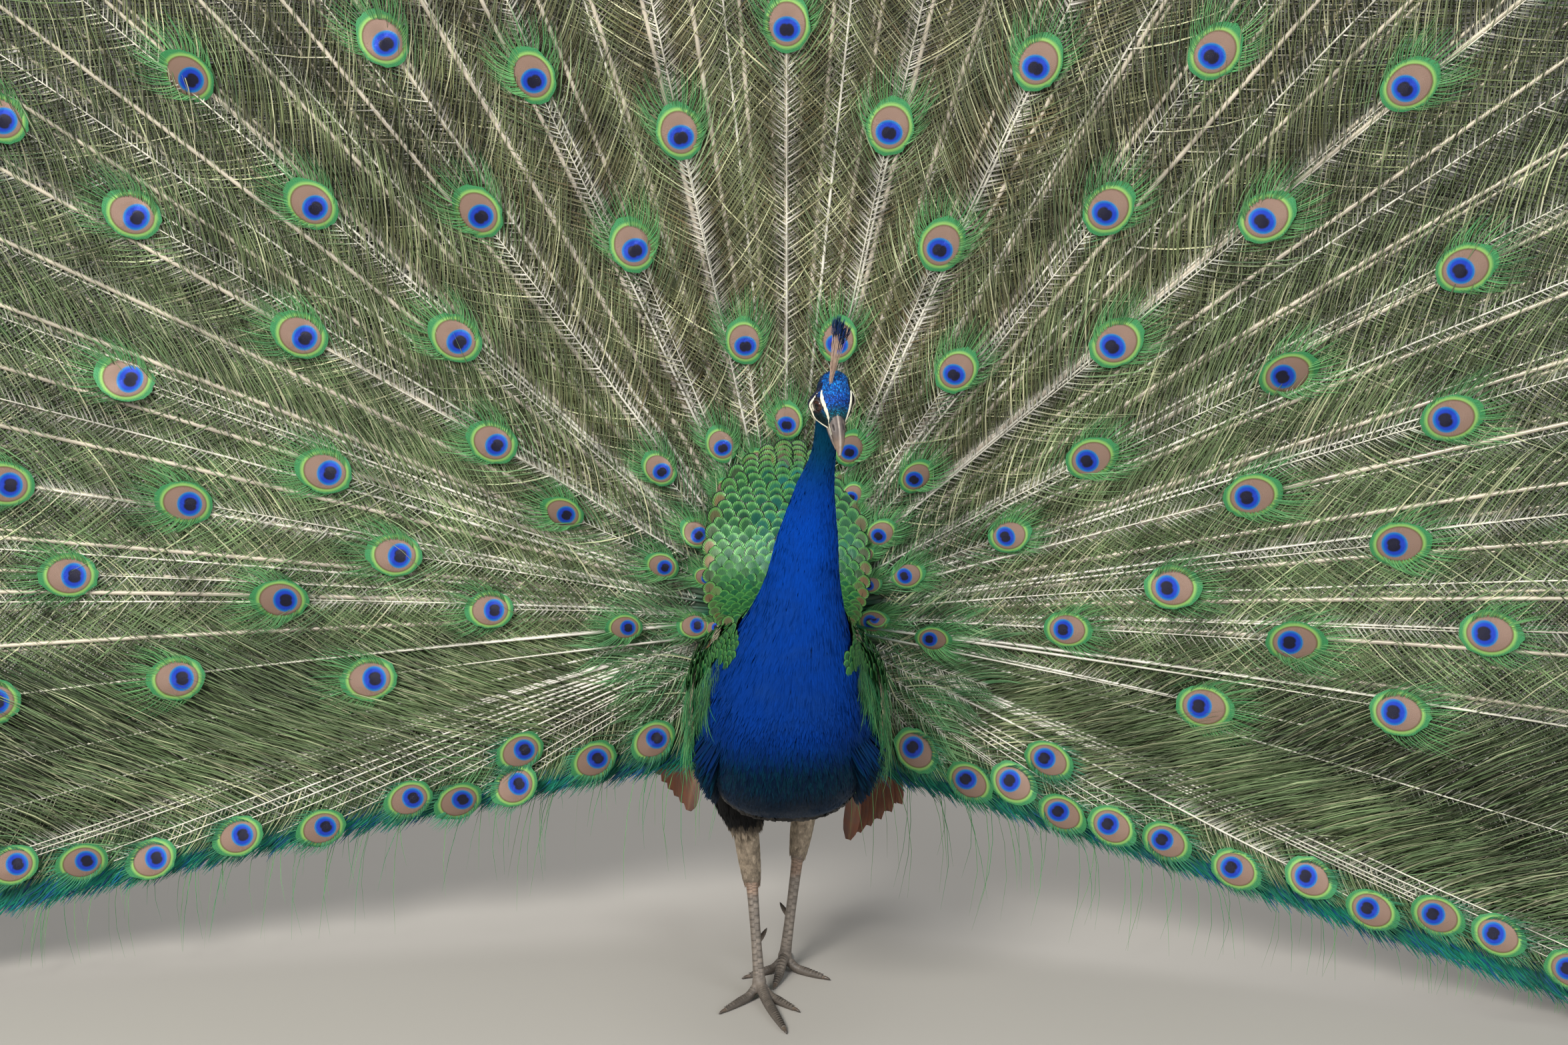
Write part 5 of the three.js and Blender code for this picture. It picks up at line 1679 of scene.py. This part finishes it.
def make_train_eyes(feathers, fringe_material):
    """The eye discs, each on its own large patch of the map, and the green fringe round them."""
    low = [(feather_at(angle, r)[0], r, 0.0, EDGE_EYE) for angle, r in EDGE_EYES]
    q, r, over, size = np.array(feathers + low).T
    number = len(q)
    is_low = np.arange(number) >= len(feathers)
    lines, low_lines = fan_line(q[~is_low]), low_line([angle for angle, _ in EDGE_EYES])
    line = {key: np.concatenate([lines[key], low_lines[key]]) for key in low_lines}
    side = math.ceil(math.sqrt(number))
    rings = np.linspace(0, 1, EYE_RINGS)
    turn = np.arange(EYE_SIDES) / EYE_SIDES * TAU
    across = EYE_HALF[0] * np.sin(turn)[None] * rings[:, None]
    ahead = EYE_HALF[1] * np.cos(turn)[None] * rings[:, None]
    ahead = ahead + EYE_POINT * (rings[:, None] ** 3) * np.clip(np.cos(turn), 0, 1)[None] ** 3
    ragged = 1 + 0.05 * rng.normal(0, 0.4, (number, 1, EYE_SIDES)) * (rings[None, :, None] > 0.95)
    tilt = rng.normal(0, 0.16, number)[:, None, None]
    # The outermost eyes of the upper fan stand over the barbs of the edge band.
    depth = np.maximum(eye_depth(r), 21 * step(0.77, 0.83, np.abs(q)))
    depth[is_low] = 8
    aside = across[None] * size[:, None, None] * ragged
    along = r[:, None, None] + ahead[None] * size[:, None, None] * ragged
    front = depth[:, None, None] + 3.2 + 2.4 * (1 - rings[None, :, None] ** 2) + np.sin(tilt) * aside
    points = fan_place(line, along, aside + over[:, None, None], front)
    eye = np.broadcast_to(together(across, ahead), (*points.shape[:-1], 2))
    cell = together(np.arange(number) % side, np.arange(number) // side)[:, None, None]
    spots = (cell + 0.5 + 0.44 * eye / (EYE_HALF[1] + EYE_POINT)) / side
    make_object(
        "train_eyes", points.reshape(-1, 3),
        many(grid_faces(EYE_RINGS, EYE_SIDES, closed=True), number, EYE_RINGS * EYE_SIDES),
        maps={"OFBake": spots.reshape(-1, 2), "eye": eye.reshape(-1, 2)}, material=eye_material(),
    )
    owner = np.repeat(np.arange(number), FRINGE_BARBS)
    count = len(owner)
    turn = np.tile(np.linspace(-2.5, 2.5, FRINGE_BARBS), number) + rng.normal(0, 0.03, count)
    lines = {key: value[owner] for key, value in line.items()}
    wide = size[owner]
    length = lerp(16, 46, step(2.2, 0.8, np.abs(turn))) * wide * rng.uniform(0.7, 1.2, count)
    length = np.where(is_low[owner], length * 0.5, length)
    tint = mix(EMERALD, FRINGE_GREEN, rng.uniform(0.4, 1, count)) * rng.uniform(0.7, 1.15, (count, 1))
    tint = mix(tint, EDGE_GREEN, 0.6 * is_low[owner])
    aim = np.degrees(np.abs(turn))
    along = r[owner] + np.cos(turn) * EYE_HALF[1] * wide * 0.74
    aside = np.sin(turn) * EYE_HALF[0] * wide * 0.74 + over[owner]
    turned = lines["sign"] * lines["angle"]
    lines["x"] = lines["x"] + aside * np.cos(turned)
    lines["z"] = lines["z"] - aside * np.sin(turned)
    spots = together(0.5 + 0.47 * q[owner], 0.02 + 0.96 * np.clip(r[owner] / FAN_MAP, 0, 1))
    coat = Coat()
    add_barbs(
        coat, lines, along, np.sign(turn), length, 0.75, tint * 0.85, tint, spots,
        lean=(np.clip(aim * 0.85, 0, 90), np.clip(aim * 0.25, 0, 36)), front=depth[owner] + 3.4,
        rise=rng.normal(0, 1.5, count), pale=0, nodes=4,
    )
    coat.finish("train_eye_fringe", "train", fringe_material)


# ---- Saddle, wings and tail ------------------------------------------------------------------


def saddle_place(across, share, lift=0.0):
    """A point of the scaled saddle: across from -1 to 1, share up from the body to its top."""
    across, share, lift = arrays(across, share, lift)
    at = share * (len(SADDLE) - 1)
    y, z, half = np.moveaxis(spline(SADDLE, at), -1, 0)
    ahead = spline(SADDLE, at + 0.05) - spline(SADDLE, at - 0.05)
    slope = unit(ahead[..., :2])
    wrap = across**2 * half / 90
    return together(
        HUB[0] + across * half,
        y + slope[..., 1] * -lift + wrap * 20 * slope[..., 1] ** 2,
        z + slope[..., 0] * lift - wrap * 12 * (1 - slope[..., 1] ** 2),
    )


SCALE_EDGE = srgb(8, 30, 18)
SCALE_BAND = srgb(84, 152, 74)
SCALE_GREEN = srgb(10, 84, 50)
SCALE_BLUE = srgb(6, 120, 128)
SCALE_COPPER = srgb(136, 92, 70)
SADDLE_LENGTH = 265
# The shoulder scales begin and end this high, and are this wide.
MANTLE_LOW, MANTLE_TOP, MANTLE_SCALE = 412, 460, 10.5


def saddle_material():
    """A scale: dark rim, pale green band, radiating barbs and a dark streak at the base."""
    m = Nodes("saddle_scales", Metallic=0.25, Specular_IOR_Level=0.5)
    spot = m.uv("eye")
    parts = m.add("ShaderNodeSeparateXYZ", {0: spot})
    out = m.math("ABSOLUTE", parts.outputs[0])
    far = m.ellipse(spot, (0, 0.38), (1.0, 0.62))
    turn = m.math("ARCTAN2", parts.outputs[0], parts.outputs[1])
    lines = m.ramp(m.math("SINE", m.math("MULTIPLY", turn, 34.0)), -1, 1)
    colour = m.blend(m.tint(), SCALE_BAND, m.math("MULTIPLY", m.ramp(far, 0.50, 0.78), 0.8))
    colour = m.blend(colour, m.blend((0.6,) * 3, (1.15,) * 3, lines), 1.0, "MULTIPLY")
    colour = m.blend(colour, SCALE_EDGE, m.ramp(far, 0.85, 0.93))
    streak = m.math("MULTIPLY", m.ramp(out, 0.10, 0.0), m.ramp(parts.outputs[1], 0.6, 0.15, 0, 0.7))
    m.colour(m.blend(colour, SCALE_EDGE, streak))
    m.rough(m.ramp(lines, 0, 1, 0.3, 0.48))
    m.bump(lines, 0.4)
    return m.material


# Where green gives way to blue on the shoulders: height, and how far out from the middle.
GREEN_LINE = [(295, 104), (335, 95), (373, 79), (405, 66), (415, 60), (451, 42)]


def beyond_blue(points):
    """How far a point of the body's front lies outside the blue of the neck and breast."""
    heights, reaches = zip(*GREEN_LINE)
    return np.abs(points[..., 0] - HUB[0]) - np.interp(points[..., 2], heights, reaches)


def mantle_scales():
    """Roots, directions and normals of scales on both shoulders, below the saddle's corners."""
    station, turn = body_rows(5.2, 7.4, lambda s: 7.0, lambda s: 10.5, jitter=0.1)
    over_wing = 0.4 + step(6.4, 6.9, station) * (WING_CLEAR + WING_THICK)
    outside = beyond_blue(body_point(station, turn))
    # The innermost scales dip under the blue feathers.
    dip = np.where(np.cos(turn) > 0.1, 0, step(20, 8, outside))
    point, _, normal = body_frame(station, turn, lerp(over_wing, -3.5, dip))
    shoulder = (outside > 6) & (point[:, 2] > MANTLE_LOW) & (point[:, 2] < MANTLE_TOP)
    kept = (shoulder & (np.cos(turn) < 0.8)) | ((np.cos(turn) > 0.1) & (station > 5.8))
    point, normal = point[kept], normal[kept]
    upward = together(np.sign(point[:, 0] - HUB[0]) * 0.5, 0.3, 1)
    ahead = unit(upward - normal * np.sum(upward * normal, -1, keepdims=True))
    return point, ahead, normal


def saddle_rows():
    """Staggered scale places over the saddle: across, share up from the body, and width."""
    rows = []
    share = -0.02
    while share < 0.985:
        wide = float(lerp(13, 20, step(0.1, 0.85, share)))
        half = float(spline(SADDLE, np.array([share * (len(SADDLE) - 1)]))[0, 2])
        number = max(2, int(2 * half / (wide * 0.86)))
        across = (np.arange(number) + 0.5 * (len(rows) % 2) + 0.25) / number * 2 - 1
        across = across[np.abs(across) < 1.02]
        rows.append(together(across + rng.normal(0, 0.012, len(across)), share, wide))
        share += wide * 0.47 / SADDLE_LENGTH
    return np.concatenate(rows).T


def make_saddle():
    """Overlapping scales over the saddle and the shoulders, and a shell under them painted dark as shade.
    """
    across, share, wide = saddle_rows()
    root = saddle_place(across, share, 0.6)
    place = lambda up, out: saddle_place(out, up)
    ahead, aside, normal = surface(place, share, across, 0.02, 0.02, (0, -1.0, 0.6))
    ahead = unit(ahead + aside * (across * 0.5 * step(0.35, 1, share))[:, None])
    mantle = mantle_scales()
    x, _, z = mantle[0].T
    across = np.append(across, (x - HUB[0]) / 100 * 0.8)
    share = np.append(share, (z - 438) / 300)
    wide = np.append(wide, np.full(len(x), MANTLE_SCALE))
    root, ahead, normal = (np.vstack(pair) for pair in zip((root, ahead, normal), mantle))
    count = len(across)
    blue = np.exp(-(((across - 0.12) / 0.5) ** 2)) * step(0.25, 0.6, share) * rng.uniform(0.1, 1, count)
    copper = step(0.80, 0.92, share) + step(0.86, 0.97, np.abs(across)) * rng.uniform(0.2, 1, count)
    tint = mix(SCALE_GREEN, SCALE_BAND * 0.7, rng.uniform(0, 0.4, count))
    tint = mix(tint, SCALE_BLUE, 0.8 * blue)
    tint = mix(tint, SCALE_COPPER, np.clip(copper, 0, 0.8) * 0.8) * uneven(count, 0.14)
    rows, columns = 7, 7
    t = np.linspace(0, 1, rows)[None, :, None]
    c = np.linspace(-1, 1, columns)[None, None]
    profile = blade_width(t, 0.45, 0.55, 0.56)
    length, width = (wide * 1.15)[:, None, None], (wide * 0.60)[:, None, None]
    tilt = rng.normal(0, 0.05, count)[:, None, None]
    normal, ahead = normal[:, None, None], ahead[:, None, None]
    rise = length * (0.17 * t + 0.02) + 0.10 * width * (1 - c**2) - 0.05 * length * t**3 + tilt * c * width
    points = (
        root[:, None, None]
        + ahead * (length * t)[..., None]
        + unit(np.cross(ahead, normal)) * (width * profile * c)[..., None]
        + normal * rise[..., None]
    )
    eye = np.broadcast_to(together(c * profile, t), (count, rows, columns, 2))
    spots = together(0.5 + across * 0.46, 0.03 + 0.92 * (share + 0.25) / 1.25)
    spots = spots[:, None, None] + 0.011 * together(c, 2 * t - 1)
    make_object(
        "saddle_scale_feathers", points.reshape(-1, 3),
        many(grid_faces(rows, columns), count, rows * columns),
        tint=np.repeat(tint, rows * columns, axis=0),
        maps={"OFBake": spots.reshape(-1, 2), "eye": eye.reshape(-1, 2)}, material=saddle_material(),
        replaces=["saddle"],
    )
    # The shell is painted dark, a painted shade that closes the chinks between the scales.
    u, v = np.meshgrid(np.linspace(-1, 1, 21), np.linspace(0.0, 0.99, 27))
    shell = np.concatenate([saddle_place(u, v, -0.5), saddle_place(u, v, -2.0)]).reshape(-1, 3)
    front = grid_faces(*u.shape)
    make_object(
        "saddle_base", shell, np.vstack([front, front[:, ::-1] + u.size]),
        tint=np.broadcast_to(SCALE_EDGE, shell.shape),
        material=plain_material("saddle_chink_shade", 0.2, 90, (0.5, 0.7), 0.3, 400),
    )


WING_BUFF = srgb(196, 178, 142)
WING_BAR = srgb(52, 44, 36)
RUFOUS = srgb(178, 102, 62)
RUFOUS_DARK = srgb(124, 68, 44)


def wing_turn(u, v):
    """The turn about the body at a place of the folded wing: u goes to its tip, v down its side."""
    fore = np.sin(np.clip(u / 0.3, 0, 1) * math.pi / 2)
    rear = (u - 0.3) / 0.7
    low, high = (np.where(u < 0.3, lerp(a, b, fore), lerp(b, c, rear)) for a, b, c in zip(*WING_TURNS))
    return np.radians(low + (high - low) * v)


def wing_place(side, u, v, out):
    """A point of a folded wing, that lies out from the body."""
    u, v, out = arrays(u, v, out)
    return body_point(lerp(WING_FROM, WING_TO, u), side * wing_turn(u, v), out)


def wing_material():
    """Buff feathers crossed by wavy black-brown bars."""
    m = Nodes("wing_vanes", Sheen_Weight=0.2)
    parts = m.add("ShaderNodeSeparateXYZ", {0: m.uv("vane")})
    wave = m.math("ADD", parts.outputs[1], m.math("MULTIPLY", m.noise(120), 5.0))
    bar = m.ramp(m.math("SINE", m.math("MULTIPLY", wave, TAU / 7.5)), 0.05, 0.5)
    colour = m.blend(m.tint(), WING_BAR, m.math("MULTIPLY", bar, 0.85))
    line = m.math("MULTIPLY_ADD", m.math("ABSOLUTE", parts.outputs[0]), -0.8, parts.outputs[1])
    stripe = m.ramp(m.math("SINE", m.math("MULTIPLY", line, TAU / 1.1)), -1, 1)
    m.colour(m.blend(colour, m.blend((0.75,) * 3, (1.05,) * 3, stripe), 1.0, "MULTIPLY"))
    m.rough(m.ramp(stripe, 0, 1, 0.55, 0.75))
    m.bump(stripe, 0.4)
    return m.material


# The flight feathers turn their faces forward towards their tips.
FLIGHT_TWIST = math.radians(65)
FLIGHT_FEATHERS, FLIGHT_HALF = 11, 13.0
FLIGHT_QUILL = srgb(160, 110, 70)
COVERT_ROWS, COVERTS = 17, 15


def make_wings():
    """Barred coverts and rufous flight feathers on both folded wings."""
    covert_material = wing_material()
    flight_material = feather_material(
        "flight_vanes", 0.25, 50, 1.3, 0.3, rough=(0.45, 0.65), Sheen_Weight=0.15
    )
    for side, name in ((-1, "right"), (1, "left")):
        make_coverts(side, name, covert_material)
        make_flight_feathers(side, name, flight_material)


def make_coverts(side, name, material):
    """Overlapping barred feathers over one folded wing."""
    coat = Coat()
    bulge = lambda share: np.sin(math.pi * np.clip(share, 0.04, 0.96))
    for row in range(COVERT_ROWS):
        u = 0.02 + 0.97 * row / (COVERT_ROWS - 1)
        v = (np.arange(COVERTS) + 0.5 * (row % 2) + 0.2) / COVERTS
        v = v[v < 1] + rng.normal(0, 0.012, int((v < 1).sum()))
        thick = WING_CLEAR + 0.6 + (WING_THICK - WING_CLEAR) * bulge(v) ** 0.7 * bulge(u) ** 0.5
        place = lambda u, v: wing_place(side, u, v, thick)
        ahead, _, normal = surface(place, u, v, 0.03, 0.03, (side, 0, 0))
        tint = WING_BUFF * uneven(len(v), 0.1)
        add_vanes(
            coat, place(u, v), ahead, normal, rng.uniform(26, 32, len(v)), 13, tint * 0.85, tint,
            together(0.05 + 0.9 * v, 0.05 + 0.9 * u), lift=0.09, rows=6, columns=5, curl=0.06, point=0.35,
            ridge=0.1,
        )
    coat.finish(f"wing_coverts_{name}", "wing_plumage", material, [f"wing_{name}"])


def make_flight_feathers(side, name, material):
    """The long rufous feathers behind one folded wing."""
    coat = Coat()
    rows, columns = 16, 7
    t = np.linspace(0, 1, rows)[:, None, None]
    c = np.linspace(-1, 1, columns)[None, :, None]
    outward = np.array([side, 0, 0.0])
    upper, lower = (np.array(tip, float) * (side, 1, 1) + (HUB[0], 0, 0) for tip in PRIMARY_TIPS[side])
    tone = mix(RUFOUS_DARK, RUFOUS, 0.5 + 0.5 * c) * (1 - 0.3 * t)
    tone = mix(tone, FLIGHT_QUILL, step(0.12, 0.02, np.abs(c)))
    for i in range(FLIGHT_FEATHERS):
        v = (i + 0.3) / FLIGHT_FEATHERS
        start = wing_place(side, 0.86, v, WING_CLEAR + 1.2)
        span = lerp(upper, lower, v) - start
        # Every other feather is a little shorter.
        length = float(np.linalg.norm(span)) * (1.07 if i % 2 else 1.1)
        ahead = unit(span)
        aside = unit(np.cross(ahead, outward))
        normal = np.cross(aside, ahead)
        normal = normal * np.sign(normal[0] * side)
        turned = FLIGHT_TWIST * t**1.5
        aside = aside * np.cos(turned) + outward * np.sin(turned)
        points = (
            start
            + ahead * length * t
            + aside * FLIGHT_HALF * blade_width(t, 0.7, 0.6, 0.31) * c
            + normal * (0.9 * (1 - np.abs(c)) + 0.5 * i / FLIGHT_FEATHERS + 0.2 * c)
            + outward * (8 * np.sin(math.pi * t) + 10 * t**2)
        )
        patch = together(0.03 + 0.94 * (i + 0.5 + 0.42 * c) / FLIGHT_FEATHERS, 0.04 + 0.92 * t)
        vane = together(c * FLIGHT_HALF, t * length)
        coat.add(points, grid_faces(rows, columns), tone, patch, vane)
    coat.finish(f"flight_feathers_{name}", "primary_plumage", material, [f"primaries_{name}"])


TAIL_GREY = srgb(120, 104, 84)
TAIL_PALE = srgb(166, 150, 124)
TAIL_QUILL = srgb(214, 200, 176)
TAIL_FEATHERS, TAIL_START, TAIL_HALF = 10, 84, 31


def make_tail():
    """The stiff grey-brown feathers that stand behind the train and carry it."""
    material = feather_material("tail_vanes", 0.2, 60, 1.4, 0.3, slant=0.7, rough=(0.55, 0.75))
    rows, columns = 20, 9
    t = np.linspace(0, 1, rows)[:, None]
    c = np.linspace(-1, 1, columns)[None]
    end = TAIL_REACH - 4
    along = lerp(TAIL_START, end, t) + 0 * c
    ending = np.sqrt(np.clip(1 - ((t - 0.75) / 0.26) ** 2, 0, 1))
    width = TAIL_HALF * np.where(t < 0.75, 0.25 + 0.75 * t / 0.75, ending)
    for sign, name in ((-1, "right"), (1, "left")):
        coat = Coat()
        tone = mix(TAIL_GREY, TAIL_PALE, (0.25 + 0.4 * (c * sign + 1) / 2) + 0 * t)
        tone = tone * (0.9 + 0.1 * np.sin(along[..., None] / 6))
        tone = mix(tone, TAIL_QUILL, step(0.1, 0.02, np.abs(c)))
        for i in range(TAIL_FEATHERS):
            q = sign * (i + 0.5) / TAIL_FEATHERS * UPPER_SHARE * (TAIL_ANGLE / UPPER_ANGLE)
            front = -TAIL_BEHIND - 0.8 * (i % 2) + 1.4 * (1 - np.abs(c)) - 0.8 * c * sign
            points = fan_place(fan_line([q]), along[None], (width * c)[None], front[None])[0]
            patch = together((i + 0.5 + 0.42 * c) / TAIL_FEATHERS, 0.04 + 0.92 * t)
            vane = together(c * width, t * (end - TAIL_START))
            coat.add(points, grid_faces(rows, columns), tone, patch, vane)
        coat.finish(f"tail_feathers_{name}", "tail_plumage", material, [f"tail_{name}"])


def make_flank_plumes(material):
    """Loose green barbs that spill from the back over the wings and down both flanks."""
    coat = Coat()
    for side in (-1, 1):
        for number, stations, turns, sideways, long in (
            (900, (6.5, 8.3), (34, 68), (0.1, 0.5), (28, 50)),
            (1300, (5.9, 7.9), (50, 112), (-0.1, 0.3), (26, 50)),
            (900, (5.6, 7.3), (84, 132), (-0.1, 0.15), (22, 44)),
        ):
            station = rng.uniform(*stations, number)
            turn = np.radians(rng.uniform(*turns, number))
            over_wing = step(6.5, 7.0, station) * step(46, 62, np.degrees(turn))
            root = body_point(station, side * turn, 1 + over_wing * (WING_CLEAR + WING_THICK * 0.7))
            kept = (beyond_blue(root + (0, 0, -22)) > 0) & (root[:, 2] > 322)
            station, turn, root = station[kept], turn[kept], root[kept]
            number = len(root)
            aim = together(
                side * rng.uniform(*sideways, number),
                rng.normal(-0.12, 0.3, number),
                rng.uniform(-1.2, -0.5, number),
            )
            out = np.broadcast_to([side, -0.5, 0.2], aim.shape)
            length = rng.uniform(*long, number) * lerp(1, 1.5, step(0.75, 1, rng.uniform(0, 1, number)))
            tint = mix(EMERALD, FRINGE_GREEN, rng.uniform(0, 1, number) ** 1.3)
            tint = tint * rng.uniform(0.5, 1.3, (number, 1))
            across_map = 0.25 + 0.5 * (side > 0) + 0.2 * (turn - 1.2)
            add_vanes(
                coat, root, aim, out, length, 1.0, tint * 0.7, tint,
                together(across_map, 0.1 + 0.8 * (station - 5.9) / 3.0), lift=0.1, rows=6, columns=2,
                curl=0.3, point=0.1, ridge=0, sway=rng.normal(0, 0.15, number),
            )
    coat.finish("flank_plumes", "train_edge", material)


# ---- Legs ------------------------------------------------------------------------------------


def make_leg_scales():
    """Scutes: two rows of broad plates down the front of each tarsus and one row over each toe."""
    coat = Coat()
    rows, columns = 4, 7
    t = np.linspace(-0.1, 1, rows)[None, :, None]
    c = np.linspace(-1, 1, columns)[None, None]
    for side in (-1, 1):
        parts, toes = leg_parts(side)
        for path, radii in (parts[2], *toes.values()):
            is_toe = path is not parts[2][0]
            line, radius = smooth_path(path, radii, 80)
            length = np.linalg.norm(np.diff(line, axis=0), axis=1).sum()
            number = int(length / (3.6 if is_toe else 4.2))
            spacing = (length / number) * 1.12
            half = 0.95 if is_toe else 0.56
            for column in ((0.0,) if is_toe else (-0.55, 0.55)):
                at = (np.arange(number) + 0.5 * (column > 0)) / number * 77 + 1
                at = at[(at < 78) & ((at > 9) | (not is_toe))]
                centre = spline(line, at)
                forward = unit(spline(unit(np.gradient(line, axis=0)), at))
                thick = spline(radius[:, None], at)[..., None]
                face = np.broadcast_to([0, 0, 1.0] if is_toe else [0, -1.0, 0.15], forward.shape)
                normal = unit(face - forward * np.sum(face * forward, -1, keepdims=True))
                aside = np.cross(forward, normal)
                turn = column + half * c
                dome = 1 - np.abs(turn - column) / half * 0.8
                swell = thick + 0.05 + 0.75 * dome * np.clip(0.25 + t, 0, 1)
                place = (
                    centre[:, None, None]
                    + forward[:, None, None] * (spacing * t)[..., None]
                    + normal[:, None, None] * (swell * np.cos(turn))[..., None]
                    + aside[:, None, None] * (swell * np.sin(turn))[..., None]
                )
                place[..., 2] = np.maximum(place[..., 2], 0.3)
                shade = rng.uniform(0.8, 1.15, (len(at), 1, 1, 1))
                tone = leg_tint(place) * shade * lerp(1.12, 0.62, step(0.55, 1.0, t))[..., None]
                spots = together(0.25 + 0.5 * (side > 0) + 0.06 * column, 0.03 + at / 85)
                spots = spots[:, None, None] + PATCH / 2 * together(c, 2 * t - 1)
                faces = many(grid_faces(rows, columns), len(at), rows * columns)
                coat.add(place, faces, tone, spots, 0 * spots)
    coat.finish("leg_scales", "leg_scales", plain_material("scutes", 0.18, 300, (0.4, 0.6), 0.3, 700))


CLAW_BLACK = srgb(58, 50, 44)
CLAW_PALE = srgb(120, 104, 90)


def make_claws():
    """Curved horn claws and the spurs behind the legs."""
    material = plain_material("claw_horn", 0.2, 400, (0.3, 0.45), 0.3, 900, Coat_Weight=0.1)
    for side, name in ((-1, "right"), (1, "left")):
        leg = LEGS[side]
        ankle = np.array(leg["ankle"], float)
        for toe, tip in leg["toes"].items():
            thick = TOE_RADIUS[toe] * TOE_TIP * 0.75
            along = unit(np.array([tip[0] - ankle[0], tip[1] - ankle[1], 0]))
            t = np.linspace(0, 1, 12)
            path = np.array([tip[0], tip[1], 0]) + along * (CLAW_LENGTH * (1.12 * t - 0.14))[:, None]
            path[:, 2] = thick + 0.9 * np.sin(t * math.pi * 0.8) - (thick - 0.7) * t**1.6
            radii = thick * np.sqrt(np.clip(1 - t**1.5, 0.012, 1)) * 0.96
            horn(f"claw_{toe}_{name}", path, radii, t, material)
        hock = np.array(leg["hock"], float)
        out = unit(np.array([-side * 0.5, 0.85, 0.25]))
        root = hock + (ankle - hock) * SPUR_SHARE
        t = np.linspace(0, 1, 14)
        path = root + out * (SPUR_LENGTH * t)[:, None]
        path[:, 2] = root[2] + SPUR_RISE * t**2
        radii = SPUR_RADIUS * np.sqrt(np.clip(1 - t**1.4, 0.01, 1))
        horn(f"spur_{name}", path, radii, t, material)


def horn(node, path, radii, share, material):
    """One tapered horn that stands for a node, pale at its root."""
    sides = 14
    points, quads, caps = loft(tube_rings(path, radii, sides))
    tone = mix(CLAW_PALE, CLAW_BLACK, np.repeat(share, sides) ** 0.6)
    tone = np.vstack([tone, CLAW_PALE[None], CLAW_BLACK[None]])
    points[:, 2] = np.maximum(points[:, 2], SOLE)
    make_object(
        f"{node}_horn", points, quads, caps, tint=tone, material=material, replaces=[node]
    )


# ---- Stage, camera and lights ----------------------------------------------------------------

# The camera stands where the photo's did; its lens follows from a focal length in the photo's pixels.
CAMERA_PLACE = np.array([0, -2720, 1270.0])
CAMERA_PITCH = math.radians(14.9)
PHOTO_WIDTH, FOCAL_PIXELS, SENSOR = 2352, 3855, 36.0


def make_stage():
    """A plain matt floor."""
    floor = bpy.data.meshes.new("floor")
    reach = 40.0
    corners = [(-reach, -reach, 0), (reach, -reach, 0), (reach, reach, 0), (-reach, reach, 0)]
    floor.from_pydata(corners, [], [(0, 1, 2, 3)])
    m = Nodes("floor", Roughness=0.85)
    m.colour(m.blend((0.36, 0.34, 0.31), (0.40, 0.38, 0.35), m.noise(1.2)))
    floor.materials.append(m.material)
    piece = bpy.data.objects.new("floor", floor)
    bpy.context.scene.collection.objects.link(piece)


def make_camera():
    """The photo's own view."""
    data = bpy.data.cameras.new("camera")
    data.sensor_width = SENSOR
    data.lens = FOCAL_PIXELS / PHOTO_WIDTH * SENSOR
    camera = bpy.data.objects.new("camera", data)
    camera.location = put(CAMERA_PLACE)
    camera.rotation_euler = (math.pi / 2 - CAMERA_PITCH, 0, 0)
    bpy.context.scene.collection.objects.link(camera)
    bpy.context.scene.camera = camera


def area_light(name, place, target, size, power, colour=(1, 1, 1)):
    """A round lamp in metres of the frame, aimed at a target."""
    data = bpy.data.lights.new(name, "AREA")
    data.shape, data.size, data.energy, data.color = "DISK", size, power, colour
    lamp = bpy.data.objects.new(name, data)
    lamp.location = place
    lamp.rotation_euler = (Vector(target) - Vector(place)).to_track_quat("-Z", "Y").to_euler()
    bpy.context.scene.collection.objects.link(lamp)


def make_light():
    """Soft studio light: a large key lamp on the left, a fill on the right and one from above."""
    world = bpy.data.worlds.new("studio")
    bpy.context.scene.world = world
    world.use_nodes = True
    background = world.node_tree.nodes["Background"]
    background.inputs["Color"].default_value = (0.95, 0.97, 1.0, 1)
    background.inputs["Strength"].default_value = 0.32
    area_light("key", (-1.8, -3.0, 3.4), (0, 0, 0.5), 1.9, 235, (1.0, 0.97, 0.92))
    area_light("fill", (2.8, -2.6, 2.2), (0, 0, 0.5), 2.6, 58, (0.92, 0.96, 1.0))
    area_light("top", (0.2, 0.6, 3.6), (0, 0, 0.6), 2.4, 70)
    bpy.context.scene.view_settings.view_transform = "Standard"


# ---- Assembly --------------------------------------------------------------------------------


def main():
    """The whole bird. The order of the calls is the order of the random draws."""
    make_camera()
    make_light()
    make_stage()
    barbs = feather_material(
        "train_barbs", 0.3, 18, 0.7, 0.15, rough=(0.35, 0.6), Metallic=0.3, Specular_IOR_Level=0.55
    )
    make_skin()
    make_body_plumage()
    make_leg_plumage()
    make_head_plumage()
    make_face_stripes()
    make_bill()
    make_bill_feathers()
    make_eyes()
    make_crest()
    feathers = make_train(barbs)
    make_train_eyes(feathers, barbs)
    make_saddle()
    make_wings()
    make_tail()
    make_flank_plumes(barbs)
    make_leg_scales()
    make_claws()


main()
